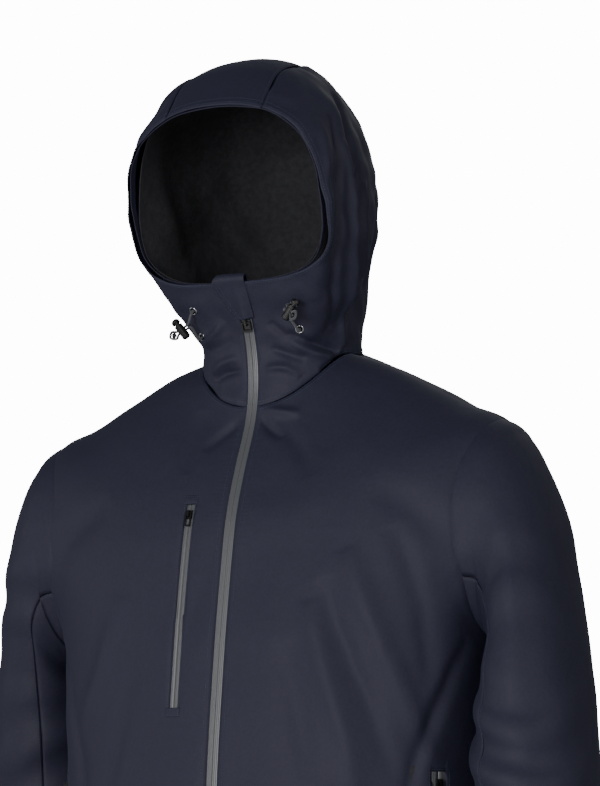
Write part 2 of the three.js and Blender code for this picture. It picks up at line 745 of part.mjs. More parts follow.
// A pull that hangs from its bar in front of the slider: a rounded frame with an open middle.
function pullGeometry(size, slider, frame) {
  const r = size.half * 0.5;
  const low = -size.length;
  const top = size.bar / 2;
  const shape = new THREE.Shape();
  shape.moveTo(-size.half, top);
  shape.lineTo(-size.half, low + r);
  shape.quadraticCurveTo(-size.half, low, -size.half + r, low);
  shape.lineTo(size.half - r, low);
  shape.quadraticCurveTo(size.half, low, size.half, low + r);
  shape.lineTo(size.half, top);
  const w = size.half - size.arm;
  const window = new THREE.Path();
  window.moveTo(-w, -top);
  window.lineTo(-w, low + 1.5 * size.arm);
  window.lineTo(w, low + 1.5 * size.arm);
  window.lineTo(w, -top);
  shape.holes.push(window);
  const plate = new THREE.ExtrudeGeometry(shape, {
    depth: size.thick,
    bevelEnabled: false,
    curveSegments: 4,
  });
  plate.translate(0, slider.pivot, slider.top + PULL_GAP);
  return placed(plate, frame);
}

const sliderFrame = centreFrame(ZIP_TOP_Z);
add(
  "main_slider",
  sliderGeometry(MAIN_SLIDER, MAIN_PULL, COIL_HEIGHT, sliderFrame),
  COLOUR.metal,
  0.4,
  0.6,
);
add(
  "main_pull",
  pullGeometry(MAIN_PULL, MAIN_SLIDER, sliderFrame),
  COLOUR.plastic,
  0.5,
);

const flapFrames = centreFrames(TAPE_TOP_Z, HEM_Z + 4);
const flapProfile = [
  [-FLAP_HALF, -FLAP_DEPTH],
  [FLAP_HALF, -FLAP_DEPTH],
  [FLAP_HALF, -FLAP_DEPTH - FLAP],
  [-FLAP_HALF, -FLAP_DEPTH - FLAP],
];
add("inner_storm_flap", sweep(flapProfile, flapFrames), COLOUR.lining, 0.95);

// The chin guard lies on the collar beside the zip, folds over the top edge and ends inside.
function chinGuard() {
  const top = hood(0, HOOD_END).z + GUARD_CREST;
  const bend = (FLAP_DEPTH + FLAP + 2 * GUARD_LIFT + GUARD) / 2;
  const outside = top - GUARD_BOTTOM_Z;
  const around = Math.PI * bend;
  const inside = top - GUARD_INSIDE_Z;
  const total = outside + around + inside;
  const crest = centreFrame(top);
  const place = (x, s, lift) => {
    if (s < outside) {
      const f = centreFrame(GUARD_BOTTOM_Z + s);
      const arch = Math.max(0, 1 - (x / GUARD_RISE.half) ** 2) ** 2 * (1 - s / outside);
      return f.at.clone().addScaledVector(f.out, GUARD_LIFT + lift + GUARD_RISE.height * arch).setX(x);
    }
    const centre = GUARD_LIFT - bend;
    if (s < outside + around) {
      const turn = (s - outside) / bend;
      const r = bend + lift;
      return crest.at
        .clone()
        .addScaledVector(crest.out, centre + r * Math.cos(turn))
        .addScaledVector(crest.up, r * Math.sin(turn))
        .setX(x);
    }
    const f = centreFrame(top - (s - outside - around));
    return f.at.clone().addScaledVector(f.out, centre - bend - lift).setX(x);
  };
  const edge = (s) => {
    if (s < outside) return lerp(GUARD_BOTTOM_X, GUARD_TOP_X, (s / outside) ** 0.6);
    return lerp(GUARD_TOP_X, GUARD_INSIDE_X, Math.min(1, (s - outside) / around));
  };
  const box = new THREE.BoxGeometry(1, 1, 1, 6, 12, 1);
  return remap(box, (x, y, z) => {
    const s = (y + 0.5) * total;
    return place(lerp(edge(s), GUARD_LEFT_X, x + 0.5), s, (z + 0.5) * GUARD);
  });
}
add("chin_guard", chinGuard(), COLOUR.shell);

// ---------------------------------------------------------------- pocket zips

// The arc that a pocket's zip lies on, through the opening's top, middle and bottom. Its frames are
// one frame turned about a level axis, so that the slider fits all along it.
function zipArc(zip) {
  const [a, b, c] = [zip.top, (zip.top + zip.bottom) / 2, zip.bottom].map((z) => frontAt(zip.x, z));
  const d = 2 * (a.y * (b.z - c.z) + b.y * (c.z - a.z) + c.y * (a.z - b.z));
  const [qa, qb, qc] = [a, b, c].map((p) => p.y * p.y + p.z * p.z);
  const y = (qa * (b.z - c.z) + qb * (c.z - a.z) + qc * (a.z - b.z)) / d;
  const z = (qa * (c.y - b.y) + qb * (a.y - c.y) + qc * (b.y - a.y)) / d;
  const radius = Math.hypot(b.y - y, b.z - z);
  const way = Math.sign(b.y - y);
  const angleAt = (height) => Math.asin((height - z) / radius);
  const up = new THREE.Vector3(0, -way * (b.z - z), Math.abs(b.y - y)).normalize();
  const out = frameOn(frontAt, zip.x, b.z).across.cross(up).normalize();
  const across = up.clone().cross(out);
  return (height) => {
    const turn = way * (angleAt(height) - angleAt(b.z));
    const turned = (v) => v.clone().applyAxisAngle(new THREE.Vector3(1, 0, 0), turn);
    const at = turned(b.clone().sub(new THREE.Vector3(0, y, z))).add(new THREE.Vector3(0, y, z));
    return { at, across: turned(across), up: turned(up), out: turned(out) };
  };
}

// A sheet on the body's front between two X values and two heights, mirrored to its side.
function frontPatch(x0, x1, top, bottom, near, far, cells, sign) {
  const corner = (u, v) => [lerp(x0, x1, u), lerp(bottom, top, v)];
  return mirror(slab(frontAt, corner, cells, near, far), sign);
}

// One pocket: two tapes, a slider, a pull and a flat bag, on the wearer's left or mirrored to the right.
function pocket(prefix, suffix, zip, bag, sign) {
  const heights = Array.from({ length: 13 }, (_, i) => lerp(zip.top + 4, zip.bottom - 4, i / 12));
  const frameAt = zipArc(zip);
  const frames = heights.map(frameAt);
  const edge = zip.gap / 2;
  for (const [label, way] of [["inner", -1], ["outer", 1]]) {
    const profile = [
      [way * edge, -TAPE_DEPTH],
      [way * zip.tape, -TAPE_DEPTH],
      [way * zip.tape, -TAPE_DEPTH - TAPE],
      [way * edge, -TAPE_DEPTH - POCKET_COIL],
    ];
    const tape = mirror(sweep(profile, frames), sign);
    add(`${prefix}_zip_tape_${label}${suffix}`, tape, COLOUR.tape, 0.5);
  }
  const here = frameAt(zip.top - POCKET_START);
  const slider = mirror(sliderGeometry(POCKET_SLIDER, POCKET_PULL, POCKET_COIL, here), sign);
  add(`${prefix}_slider${suffix}`, slider, COLOUR.metal, 0.4, 0.6);
  const pull = mirror(pullGeometry(POCKET_PULL, POCKET_SLIDER, here), sign);
  add(`${prefix}_pull${suffix}`, pull, COLOUR.plastic, 0.5);
  const sheet = frontPatch(
    zip.x + bag.from,
    zip.x + bag.to,
    bag.top,
    bag.bottom,
    -BAG_DEPTH - BAG,
    -BAG_DEPTH,
    [3, 6],
    sign,
  );
  add(`${prefix}_pocket_bag${suffix}`, sheet, COLOUR.lining, 0.95);
}

pocket("chest", "", CHEST_ZIP, CHEST_BAG, -1);
for (const { name, sign } of SIDES) {
  pocket("hand", `_${name}`, HAND_ZIP, HAND_BAG, sign);
}
for (const [name, z] of [["top", CHEST_ZIP.top], ["bottom", CHEST_ZIP.bottom - GARAGE.length]]) {
  const patch = frontPatch(
    CHEST_ZIP.x - GARAGE.half,
    CHEST_ZIP.x + GARAGE.half,
    z + GARAGE.length,
    z,
    GARAGE.lift,
    GARAGE.lift + GARAGE.thick,
    [2, 1],
    -1,
  );
  add(`chest_garage_${name}`, patch, COLOUR.shell);
}

// ---------------------------------------------------------------- hanger loop

// A strap inside the back of the neck: a flat top with two splayed legs, leaning as the lining does.
function hangerLoop() {
  const { half, thick, drop, splay } = LOOP;
  const shape = new THREE.Shape(
    [
      [-half, 0],
      [half, 0],
      [half + splay, -drop],
      [half + splay + thick, -drop],
      [half + thick, thick],
      [-half - thick, thick],
      [-half - splay - thick, -drop],
      [-half - splay, -drop],
    ].map(([x, y]) => new THREE.Vector2(x, y)),
  );
  const strap = new THREE.ExtrudeGeometry(shape, { depth: LOOP.width, bevelEnabled: false });
  const back = torso(HALF, 0);
  const lower = torso(HALF, 1);
  const lean = (lower.y - back.y) / (back.z - lower.z);
  const y0 = back.y - LINING_DEPTH - LINING - LOOP.gap - LOOP.width;
  const z0 = back.z - LOOP.fromNeck;
  return remap(strap, (x, y, z) => new THREE.Vector3(x, y0 + z - y * lean, z0 + y));
}
add("hanger_loop", hangerLoop(), COLOUR.tape, 0.7);

// ---------------------------------------------------------------- hood cord and its locks

for (const { name, sign } of SIDES) {
  for (const [i, level] of ["upper", "lower"].entries()) {
    const f = eyeletFrames[i];
    const ring = new THREE.LatheGeometry(
      [
        [EYELET.hole, -2.2],
        [EYELET.barrel, -2.2],
        [EYELET.barrel, CLEARANCE],
        [EYELET.outer, CLEARANCE],
        [EYELET.outer - 0.5, CLEARANCE + EYELET.flange],
        [EYELET.hole, CLEARANCE + EYELET.flange],
        [EYELET.hole, -2.2],
      ].map(([r, h]) => new THREE.Vector2(r, h)),
      12,
    ).rotateX(QUARTER);
    const basis = new THREE.Matrix4().makeBasis(f.across, f.up, f.out).setPosition(f.at);
    add(`eyelet_${level}_${name}`, mirror(closed(ring.applyMatrix4(basis)), sign), COLOUR.nickel, 0.35, 0.9);
  }
}

// A lathe about the lock's axis from pairs of radius and height.
function turned(pairs) {
  const profile = pairs.map(([r, h]) => new THREE.Vector2(r, h));
  return closed(new THREE.LatheGeometry(profile, 16).rotateX(QUARTER));
}

// The opening that both strands pass through, lengthened along the axis by more.
function slotTool(more) {
  const box = new THREE.BoxGeometry(20, LOCK.slot, LOCK.slotHeight + more);
  return closed(box.translate(0, 0, LOCK.slotRise + more / 2));
}

const LOCK_LOW = -LOCK.length / 2;
const LOCK_HIGH = LOCK.length / 2;

function lockBarrel() {
  const outline = [
    [0, LOCK_LOW],
    [LOCK.radius - 1, LOCK_LOW],
    [LOCK.radius, LOCK_LOW + 1],
    [LOCK.radius, LOCK_HIGH],
    [LOCK.bore, LOCK_HIGH],
    [LOCK.bore, LOCK_LOW + PLUNGER.floor],
    [0, LOCK_LOW + PLUNGER.floor],
  ];
  return cut(turned(outline), slotTool(0));
}

function lockPlunger() {
  const head = LOCK_HIGH + PLUNGER.press + CLEARANCE;
  const low = LOCK_LOW + PLUNGER.floor + PLUNGER.press + CLEARANCE;
  const outline = [
    [0, low],
    [PLUNGER.stem, low],
    [PLUNGER.stem, head],
    [PLUNGER.head, head],
    [PLUNGER.head, head + PLUNGER.headHeight * 0.5],
    [PLUNGER.head * 0.7, head + PLUNGER.headHeight],
    [0, head + PLUNGER.headHeight],
  ];
  return cut(turned(outline), slotTool(PLUNGER.press));
}

// The lock's place: x is the way through it, z its axis.
function lockFrame(place) {
  const [upper, lower] = eyeletFrames;
  const at = upper.at.clone().add(lower.at).multiplyScalar(0.5);
  at.add(new THREE.Vector3(place.out, -place.forward, place.rise));
  const axis = new THREE.Vector3(...LOCK_AXIS).normalize();
  const way = new THREE.Vector3(...LOCK_WAY);
  way.addScaledVector(axis, -way.dot(axis)).normalize();
  return new THREE.Matrix4().makeBasis(way, axis.clone().cross(way), axis).setPosition(at);
}

// The cord loop: out of the upper eyelet, through the lock, round the bead and back to the lower one.
function cordLoop(frame) {
  const at = (x, z) => new THREE.Vector3(x, 0, z + LOCK.slotRise).applyMatrix4(frame);
  const [upper, lower] = eyeletFrames;
  const from = (f, d) => f.at.clone().addScaledVector(f.out, d);
  const strand = (CORD + 0.5) / 2;
  const turn = BEAD.radius + CORD / 2 + 2 * CLEARANCE;
  const beadX = LOCK.radius + BEAD.reach;
  const path = [
    from(upper, -1.4),
    from(upper, 4),
    at(-LOCK.radius - 5, strand + 1),
    at(-LOCK.radius, strand),
    at(LOCK.radius, strand),
    at(beadX, turn),
    at(beadX + turn, 0),
    at(beadX, -turn),
    at(LOCK.radius, -strand),
    at(-LOCK.radius, -strand),
    at(-LOCK.radius - 5, -strand - 1),
    from(lower, 5),
    from(lower, -1.4),
  ];
  const section = new THREE.Shape();
  const sides = 8;
  for (let i = 0; i < sides; i += 1) {
    const a = ((i + 0.5) / sides) * 2 * Math.PI;
    section[i ? "lineTo" : "moveTo"]((CORD / 2) * Math.cos(a), (CORD / 2) * Math.sin(a));
  }
  const extrudePath = new THREE.CatmullRomCurve3(path, false, "centripetal");
  return closed(new THREE.ExtrudeGeometry(section, { steps: 26, bevelEnabled: false, extrudePath }));
}

for (const { name, sign } of SIDES) {
  const frame = lockFrame(LOCK_PLACE[name]);
  const fit = (geometry) => mirror(closed(geometry.applyMatrix4(frame)), sign);
  const bead = new THREE.SphereGeometry(BEAD.radius, 10, 8);
  bead.translate(LOCK.radius + BEAD.reach, 0, LOCK.slotRise);
  add(`cord_loop_${name}`, mirror(cordLoop(frame), sign), COLOUR.cord);
  add(`cord_lock_${name}`, fit(lockBarrel()), COLOUR.plastic, 0.35);
  add(`lock_plunger_${name}`, fit(lockPlunger()), COLOUR.plastic, 0.35);
  add(`cord_bead_${name}`, fit(bead), COLOUR.plastic, 0.25);
}

export default jacket;
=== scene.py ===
"""Foul weather jacket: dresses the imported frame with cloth, seams, stitching, zips, cords and finishes.

Sizes are in millimetres in the frame's axes (+Z up, front to -Y, the wearer's left at +X) and become
metres where a mesh is written.
"""

import logging
import math
from dataclasses import dataclass, field
from enum import Enum
from typing import Callable, Sequence

import bmesh
import bpy
import numpy as np
from mathutils import Matrix, Vector
from mathutils.bvhtree import BVHTree


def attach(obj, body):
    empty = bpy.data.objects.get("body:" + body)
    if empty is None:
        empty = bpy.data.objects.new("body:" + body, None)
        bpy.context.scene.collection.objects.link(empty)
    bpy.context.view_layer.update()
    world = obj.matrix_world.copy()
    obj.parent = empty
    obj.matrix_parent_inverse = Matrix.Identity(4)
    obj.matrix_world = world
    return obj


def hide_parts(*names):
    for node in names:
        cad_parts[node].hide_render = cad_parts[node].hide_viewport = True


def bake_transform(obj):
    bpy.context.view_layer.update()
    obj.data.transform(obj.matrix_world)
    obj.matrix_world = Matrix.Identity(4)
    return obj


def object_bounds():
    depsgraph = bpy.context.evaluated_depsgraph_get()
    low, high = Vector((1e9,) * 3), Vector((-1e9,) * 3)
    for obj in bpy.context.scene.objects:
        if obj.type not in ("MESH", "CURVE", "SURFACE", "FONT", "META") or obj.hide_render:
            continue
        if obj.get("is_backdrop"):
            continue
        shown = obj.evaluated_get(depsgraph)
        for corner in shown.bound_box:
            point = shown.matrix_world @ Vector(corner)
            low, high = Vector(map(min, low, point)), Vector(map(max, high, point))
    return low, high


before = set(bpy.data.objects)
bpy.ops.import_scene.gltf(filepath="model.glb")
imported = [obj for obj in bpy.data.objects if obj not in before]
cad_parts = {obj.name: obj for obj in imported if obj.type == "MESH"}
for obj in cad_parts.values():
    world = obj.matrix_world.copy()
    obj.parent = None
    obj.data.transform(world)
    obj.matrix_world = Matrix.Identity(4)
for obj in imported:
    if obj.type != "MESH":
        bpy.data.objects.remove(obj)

LOG = logging.getLogger("jacket")
MM = 0.001
QUARTER = math.pi / 2
HALF = math.pi
WHOLE = 2 * math.pi

SHELL_THICK = 0.7
LINING_DEPTH = 8.0
LINING_THICK = 0.8
SLIT_HALF = 5.8
CORD_DIAMETER = 2.6
SEAM_DIP = 1.1  # how far a panel's edge sinks into its seam
SEAM_REACH = 2.4
SHELL_MARGIN = 5.5  # how far a shell panel runs on inside the piece that it is sewn to
LINING_MARGIN = 0.5
NARROWEST = 10.5  # the least width and length taken for a sheet's flat size

Pair = tuple[np.ndarray, np.ndarray]
Corner = Callable[[np.ndarray, np.ndarray], Pair]
RowTurn = Callable[[np.ndarray], np.ndarray]


class Side(Enum):
    """The wearer's side of the jacket."""

    RIGHT = -1
    LEFT = 1

    @property
    def label(self) -> str:
        """The word that the frame's node names use."""
        return self.name.lower()


# ------------------------------------------------------------------ curves and surfaces


def curve(xs: Sequence[float], ys: Sequence[float], x: np.ndarray, first: float | None = None) -> np.ndarray:
    """Interpolates a smooth curve through its knots.

    Args:
        xs: knots, rising or falling.
        ys: values at the knots.
        x: where to read the curve.
        first: slope at the first knot, if it isn't the first chord's.

    Returns:
        The curve's values at x. Beyond the knots the curve runs straight on.
    """
    way = 1.0 if xs[1] > xs[0] else -1.0
    k = np.array(xs, float) * way
    y = np.array(ys, float)
    at = np.asarray(x, float) * way
    slope = np.empty_like(y)
    slope[1:-1] = (y[2:] - y[:-2]) / (k[2:] - k[:-2])
    slope[0] = (y[1] - y[0]) / (k[1] - k[0]) if first is None else first * way
    slope[-1] = (y[-1] - y[-2]) / (k[-1] - k[-2])
    i = np.clip(np.searchsorted(k, at, side="left") - 1, 0, len(k) - 2)
    h = k[i + 1] - k[i]
    t = (at - k[i]) / h
    inside = np.clip(t, 0, 1)
    a = 2 * inside**3 - 3 * inside**2 + 1
    b = inside**3 - 2 * inside**2 + inside
    c = 3 * inside**2 - 2 * inside**3
    d = inside**3 - inside**2
    value = a * y[i] + b * h * slope[i] + c * y[i + 1] + d * h * slope[i + 1]
    below = np.minimum(t, 0) * h * slope[i]
    above = np.maximum(t - 1, 0) * h * slope[i + 1]
    return value + below + above


@dataclass(frozen=True)
class CentreFront:
    """The line down the middle of the front, with one true arc round the throat."""

    radius: float = 135.0
    centre_y: float = -200.0
    centre_z: float = -33.0
    top: float = math.radians(35)
    bottom: float = math.radians(-25)

    def y(self, z: np.ndarray) -> np.ndarray:
        """Y of the centre front at height z."""
        z = np.asarray(z, float)
        top_z = self.centre_z + self.radius * math.sin(self.top)
        top_y = self.centre_y + self.radius * math.cos(self.top)
        low_z = self.centre_z + self.radius * math.sin(self.bottom)
        low_y = self.centre_y + self.radius * math.cos(self.bottom)
        straight = top_y - (z - top_z) * math.tan(self.top)
        arc = self.centre_y + np.sqrt(np.maximum(self.radius**2 - (z - self.centre_z) ** 2, 1))
        knots = (low_z, -130, -173, -214, -312, -447, -600, -760)
        values = (low_y, -96, -112, -121, -137, -152, -157, -155)
        body = curve(knots, values, z, math.tan(-self.bottom))
        return np.where(z > top_z, straight, np.where(z > low_z, arc, body))


CENTRE = CentreFront()


class Surface:
    """A smooth surface over two values, drawn for the wearer's left."""

    side = 1.0

    def at(self, a: np.ndarray, b: np.ndarray) -> np.ndarray:
        """Points of the surface, one row of X, Y, Z for each pair of values."""
        raise NotImplementedError

    def normal(self, a: np.ndarray, b: np.ndarray) -> np.ndarray:
        """Outward unit normals at the same places."""
        e = 1e-3
        du = self.at(a + e, b) - self.at(a - e, b)
        dv = self.at(a, b + e) - self.at(a, b - e)
        n = np.cross(du, dv) * self.side
        return n / np.maximum(np.linalg.norm(n, axis=-1, keepdims=True), 1e-12)

    def turn_where(self, row: np.ndarray, axis: int, value: float, low: float, high: float) -> np.ndarray:
        """The turn between low and high at which a row's X (0) or Y (1) has a value."""
        a = np.full_like(row, low, dtype=float)
        b = np.full_like(row, high, dtype=float)
        rising = self.at(b, row)[..., axis] > self.at(a, row)[..., axis]
        for _ in range(32):
            mid = (a + b) / 2
            past = (self.at(mid, row)[..., axis] > value) == rising
            b = np.where(past, mid, b)
            a = np.where(past, a, mid)
        return (a + b) / 2


@dataclass(frozen=True)
class Rings(Surface):
    """A surface through a stack of rings: turn 0 is the centre front, a quarter turn the wearer's left.

    Each row holds front z, half-width, side Y and z, back Y and z, squareness of the front and of the
    back, and the power by which the ring sags between its sides and its ends.
    """

    rows: tuple[tuple[float, ...], ...]
    side: float = 1.0

    @property
    def end(self) -> float:
        """The last row's number."""
        return float(len(self.rows) - 1)

    def at(self, a: np.ndarray, b: np.ndarray) -> np.ndarray:
        """Points at turn a on row b."""
        turn, row = np.broadcast_arrays(np.asarray(a, float), np.asarray(b, float))
        knots = range(len(self.rows))
        columns = [curve(knots, values, row) for values in zip(*self.rows)]
        fz, w, sy, sz, by, bz, front, back, power = columns
        s, c = np.sin(turn), np.cos(turn)
        n = np.where(c > 0, front, back)
        rho = (np.abs(s) ** n + np.abs(c) ** n) ** (-1 / n)
        reach = np.clip(np.abs(rho * c), 0, 1)
        end_y = np.where(c > 0, CENTRE.y(fz), by)
        end_z = np.where(c > 0, fz, bz)
        y = sy + (end_y - sy) * reach
        z = sz + (end_z - sz) * reach**power
        return np.stack([w * rho * s, y, z], -1)


@dataclass(frozen=True)
class Sleeve(Surface):
    """A sleeve: turn 0 is its outer side and a quarter turn its front.

    Each row holds the outer X and z, the inner X and z, half the depth and the share of the swing.
    """

    rows: tuple[tuple[float, ...], ...]
    swing: float
    square: float = 2.15
    centre_y: float = 8.0
    side: float = 1.0

    @property
    def end(self) -> float:
        """The last row's number."""
        return float(len(self.rows) - 1)

    def at(self, a: np.ndarray, b: np.ndarray) -> np.ndarray:
        """Points at turn a on row b."""
        turn, row = np.broadcast_arrays(np.asarray(a, float), np.asarray(b, float))
        knots = range(len(self.rows))
        ox, oz, ix, iz, depth, share = [curve(knots, values, row) for values in zip(*self.rows)]
        s, c = np.sin(turn), np.cos(turn)
        n = self.square
        rho = (np.abs(s) ** n + np.abs(c) ** n) ** (-1 / n)
        across = 0.5 * (1 + rho * c)
        y = self.centre_y - depth * rho * s + self.swing * share
        return np.stack([ix + (ox - ix) * across, y, iz + (oz - iz) * across], -1)


TORSO = Rings(
    rows=(
        (-58, 82, 0, 0, 80, 22, 2.2, 2.2, 2),
        (-95, 140, 0, -24, 95, 0, 2.3, 2.3, 2),
        (-130, 214, 0, -61, 118, -50, 2.4, 2.4, 2),
        (-160, 244, 0, -82, 135, -100, 2.5, 2.5, 2),
        (-187, 254, 0, -125, 143, -150, 2.6, 2.6, 2),
        (-235, 255, 0, -200, 149, -215, 2.7, 2.7, 2),
        (-312, 236, 0, -300, 150, -300, 2.5, 2.5, 2),
        (-447, 229, 0, -447, 146, -447, 2.3, 2.3, 2),
        (-600, 230, 0, -600, 146, -600, 2.3, 2.3, 2),
        (-760, 234, 0, -760, 150, -760, 2.3, 2.3, 2),
    ),
    side=-1.0,
)
HOOD = Rings(
    rows=(
        (-58, 82, 0, 0, 80, 22, 2.2, 2.2, 2),
        (-35, 81, 2, 30, 92, 60, 2.6, 2.3, 1.6),
        (-10, 84, 8, 64, 98, 120, 3.1, 2.4, 1.2),
        (15, 97, 6, 98, 90, 182, 3.6, 2.4, 1),
        (32, 107, -10, 136, 63, 246, 4.0, 2.3, 1),
        (45, 111, -38, 167, 12, 292, 4.2, 2.2, 1),
        (54, 112, -76, 178, -56, 306, 4.2, 2.2, 1),
        (60, 112, -108, 170, -116, 284, 4.0, 2.3, 1),
        (64, 110, -130, 150, -156, 237, 3.8, 2.4, 1),
    )
)
SLEEVE_ROWS = (
    (185, -100, 178, -280, 76, 0),
    (246, -85, 234, -296, 86, 0),
    (268, -96, 240, -303, 88, 0),
    (285, -120, 244, -310, 88, 0.05),
    (302, -158, 246, -320, 87, 0.15),
    (317, -212, 243, -336, 86, 0.35),
    (332, -278, 241, -356, 85, 0.6),
    (345, -345, 238, -390, 83, 0.8),
    (355, -415, 238, -442, 80, 1),
    (362, -485, 243, -505, 75, 1.15),
    (367, -555, 250, -573, 68, 1.25),
    (370, -622, 262, -641, 60, 1.3),
    (371, -690, 274, -708, 52, 1.35),
)
SLEEVES = {Side.RIGHT: Sleeve(SLEEVE_ROWS, 40.0), Side.LEFT: Sleeve(SLEEVE_ROWS, -45.0)}


class BodyFront(Surface):
    """The front of the body as a height field over X and z."""

    def at(self, a: np.ndarray, b: np.ndarray) -> np.ndarray:
        """Points at X a and height b."""
        x, z = np.broadcast_arrays(np.asarray(a, float), np.asarray(b, float))
        turn = np.full(x.shape, 0.3)
        row = np.full(x.shape, 5.0)
        e = 1e-4
        for _ in range(25):
            p = TORSO.at(turn, row)
            pt = (TORSO.at(turn + e, row) - p) / e
            pv = (TORSO.at(turn, row + e) - p) / e
            det = pt[..., 0] * pv[..., 2] - pv[..., 0] * pt[..., 2]
            ex = np.abs(x) - p[..., 0]
            ez = z - p[..., 2]
            turn = np.clip(turn + (ex * pv[..., 2] - ez * pv[..., 0]) / det, 0, QUARTER)
            row = np.clip(row + (pt[..., 0] * ez - pt[..., 2] * ex) / det, 0, TORSO.end)
        return np.stack([x, TORSO.at(turn, row)[..., 1], z], -1)


class Throat(Surface):
    """The strip down the centre front over X and z, level from side to side."""

    def at(self, a: np.ndarray, b: np.ndarray) -> np.ndarray:
        """Points at X a and height b."""
        x, z = np.broadcast_arrays(np.asarray(a, float), np.asarray(b, float))
        return np.stack([x, CENTRE.y(z), z], -1)


@dataclass(frozen=True)
class Formed(Surface):
    """A surface that a function of its two values gives."""

    place: Callable[[np.ndarray, np.ndarray], np.ndarray]

    def at(self, a: np.ndarray, b: np.ndarray) -> np.ndarray:
        """Points at a across and b along."""
        a, b = np.broadcast_arrays(np.asarray(a, float), np.asarray(b, float))
        return self.place(a, b)


BODY_FRONT = BodyFront()
THROAT = Throat()


# ------------------------------------------------------------------ folds of the cloth


@dataclass(frozen=True)
class Fold:
    """A ridge (height above 0) or a crease (below 0) in the cloth along a line near its surface."""

    line: tuple[tuple[float, float, float], ...]
    height: float
    width: float
    sharpness: float = 2.0
    step: float = 7.0
    reach: float = 45.0

    def mirrored(self, share: float = 1.0) -> "Fold":
        """The same fold on the other side, with a share of the height."""
        line = tuple((-x, y, z) for x, y, z in self.line)
        return Fold(line, self.height * share, self.width, self.sharpness)

    def lift(self, points: np.ndarray) -> np.ndarray:
        """How far each point moves outwards."""
        knots = np.array(self.line, float)
        runs = np.linalg.norm(np.diff(knots, axis=0), axis=1)
        along = np.concatenate([[0.0], np.cumsum(runs)])
        count = max(4, int(along[-1] / self.step))
        places = np.linspace(0, along[-1], count)
        samples = np.stack([np.interp(places, along, knots[:, k]) for k in range(3)], -1)
        gaps = np.linalg.norm(points[None, :, :] - samples[:, None, :], axis=2)
        near = gaps.argmin(axis=1)
        if gaps.min() > self.reach:
            return np.zeros(len(points))
        close = gaps[np.arange(count), near] < self.reach
        samples = np.where(close[:, None], points[near], samples)
        for _ in range(3):
            samples[1:-1] = (samples[:-2] + 2 * samples[1:-1] + samples[2:]) / 4
        best = np.full(len(points), np.inf)
        share = np.zeros(len(points))
        for i in range(count - 1):
            d = samples[i + 1] - samples[i]
            t = np.clip((points - samples[i]) @ d / max(d @ d, 1e-9), 0, 1)
            gap = np.linalg.norm(points - samples[i] - t[:, None] * d, axis=1)
            closer = gap < best
            best = np.where(closer, gap, best)
            share = np.where(closer, (i + t) / (count - 1), share)
        fade = np.sin(np.pi * share) ** 0.55
        return self.height * fade * np.exp(-((best / self.width) ** self.sharpness))


@dataclass(frozen=True)
class Ripple:
    """Slow, uneven waves all over a cloth."""

    wavelength: float
    height: float
    seed: int
    waves: int = 6

    def lift(self, points: np.ndarray) -> np.ndarray:
        """How far each point moves outwards."""
        rng = np.random.default_rng(self.seed)
        total = np.zeros(len(points))
        for _ in range(self.waves):
            way = rng.normal(size=3)
            way /= np.linalg.norm(way)
            cross = rng.normal(size=3)
            cross /= np.linalg.norm(cross)
            k = WHOLE / (self.wavelength * rng.uniform(0.7, 1.5))
            warp = 0.9 * np.sin(points @ cross * k * 0.6 + rng.uniform(0, WHOLE))
            total += np.sin(points @ way * k + warp + rng.uniform(0, WHOLE))
        return self.height * total / math.sqrt(self.waves)


@dataclass(frozen=True)
class Gathers:
    """Diagonal folds that fan round part of a sleeve, as at the elbow and the cuff."""

    z: float
    reach: float
    pitch: float
    height: float
    slope: float
    facing: tuple[float, float]

    def lift(self, points: np.ndarray) -> np.ndarray:
        """How far each point moves outwards."""
        centre = points.mean(axis=0)
        way = np.array([self.facing[0] * np.sign(centre[0]), self.facing[1], 0.0])
        flat = points - centre
        flat[:, 2] = 0
        shown = (flat / np.maximum(np.linalg.norm(flat, axis=1, keepdims=True), 1)) @ way
        mask = np.clip(0.5 + 0.5 * shown, 0, 1) * np.exp(-(((points[:, 2] - self.z) / self.reach) ** 2))
        phase = (points[:, 2] + self.slope * points[:, 1]) / self.pitch
        wave = np.sin(WHOLE * phase + 1.4 * np.sin(points[:, 0] / 37 + points[:, 2] / 53))
        return self.height * mask * (np.abs(wave) ** 0.8 * np.sign(wave))


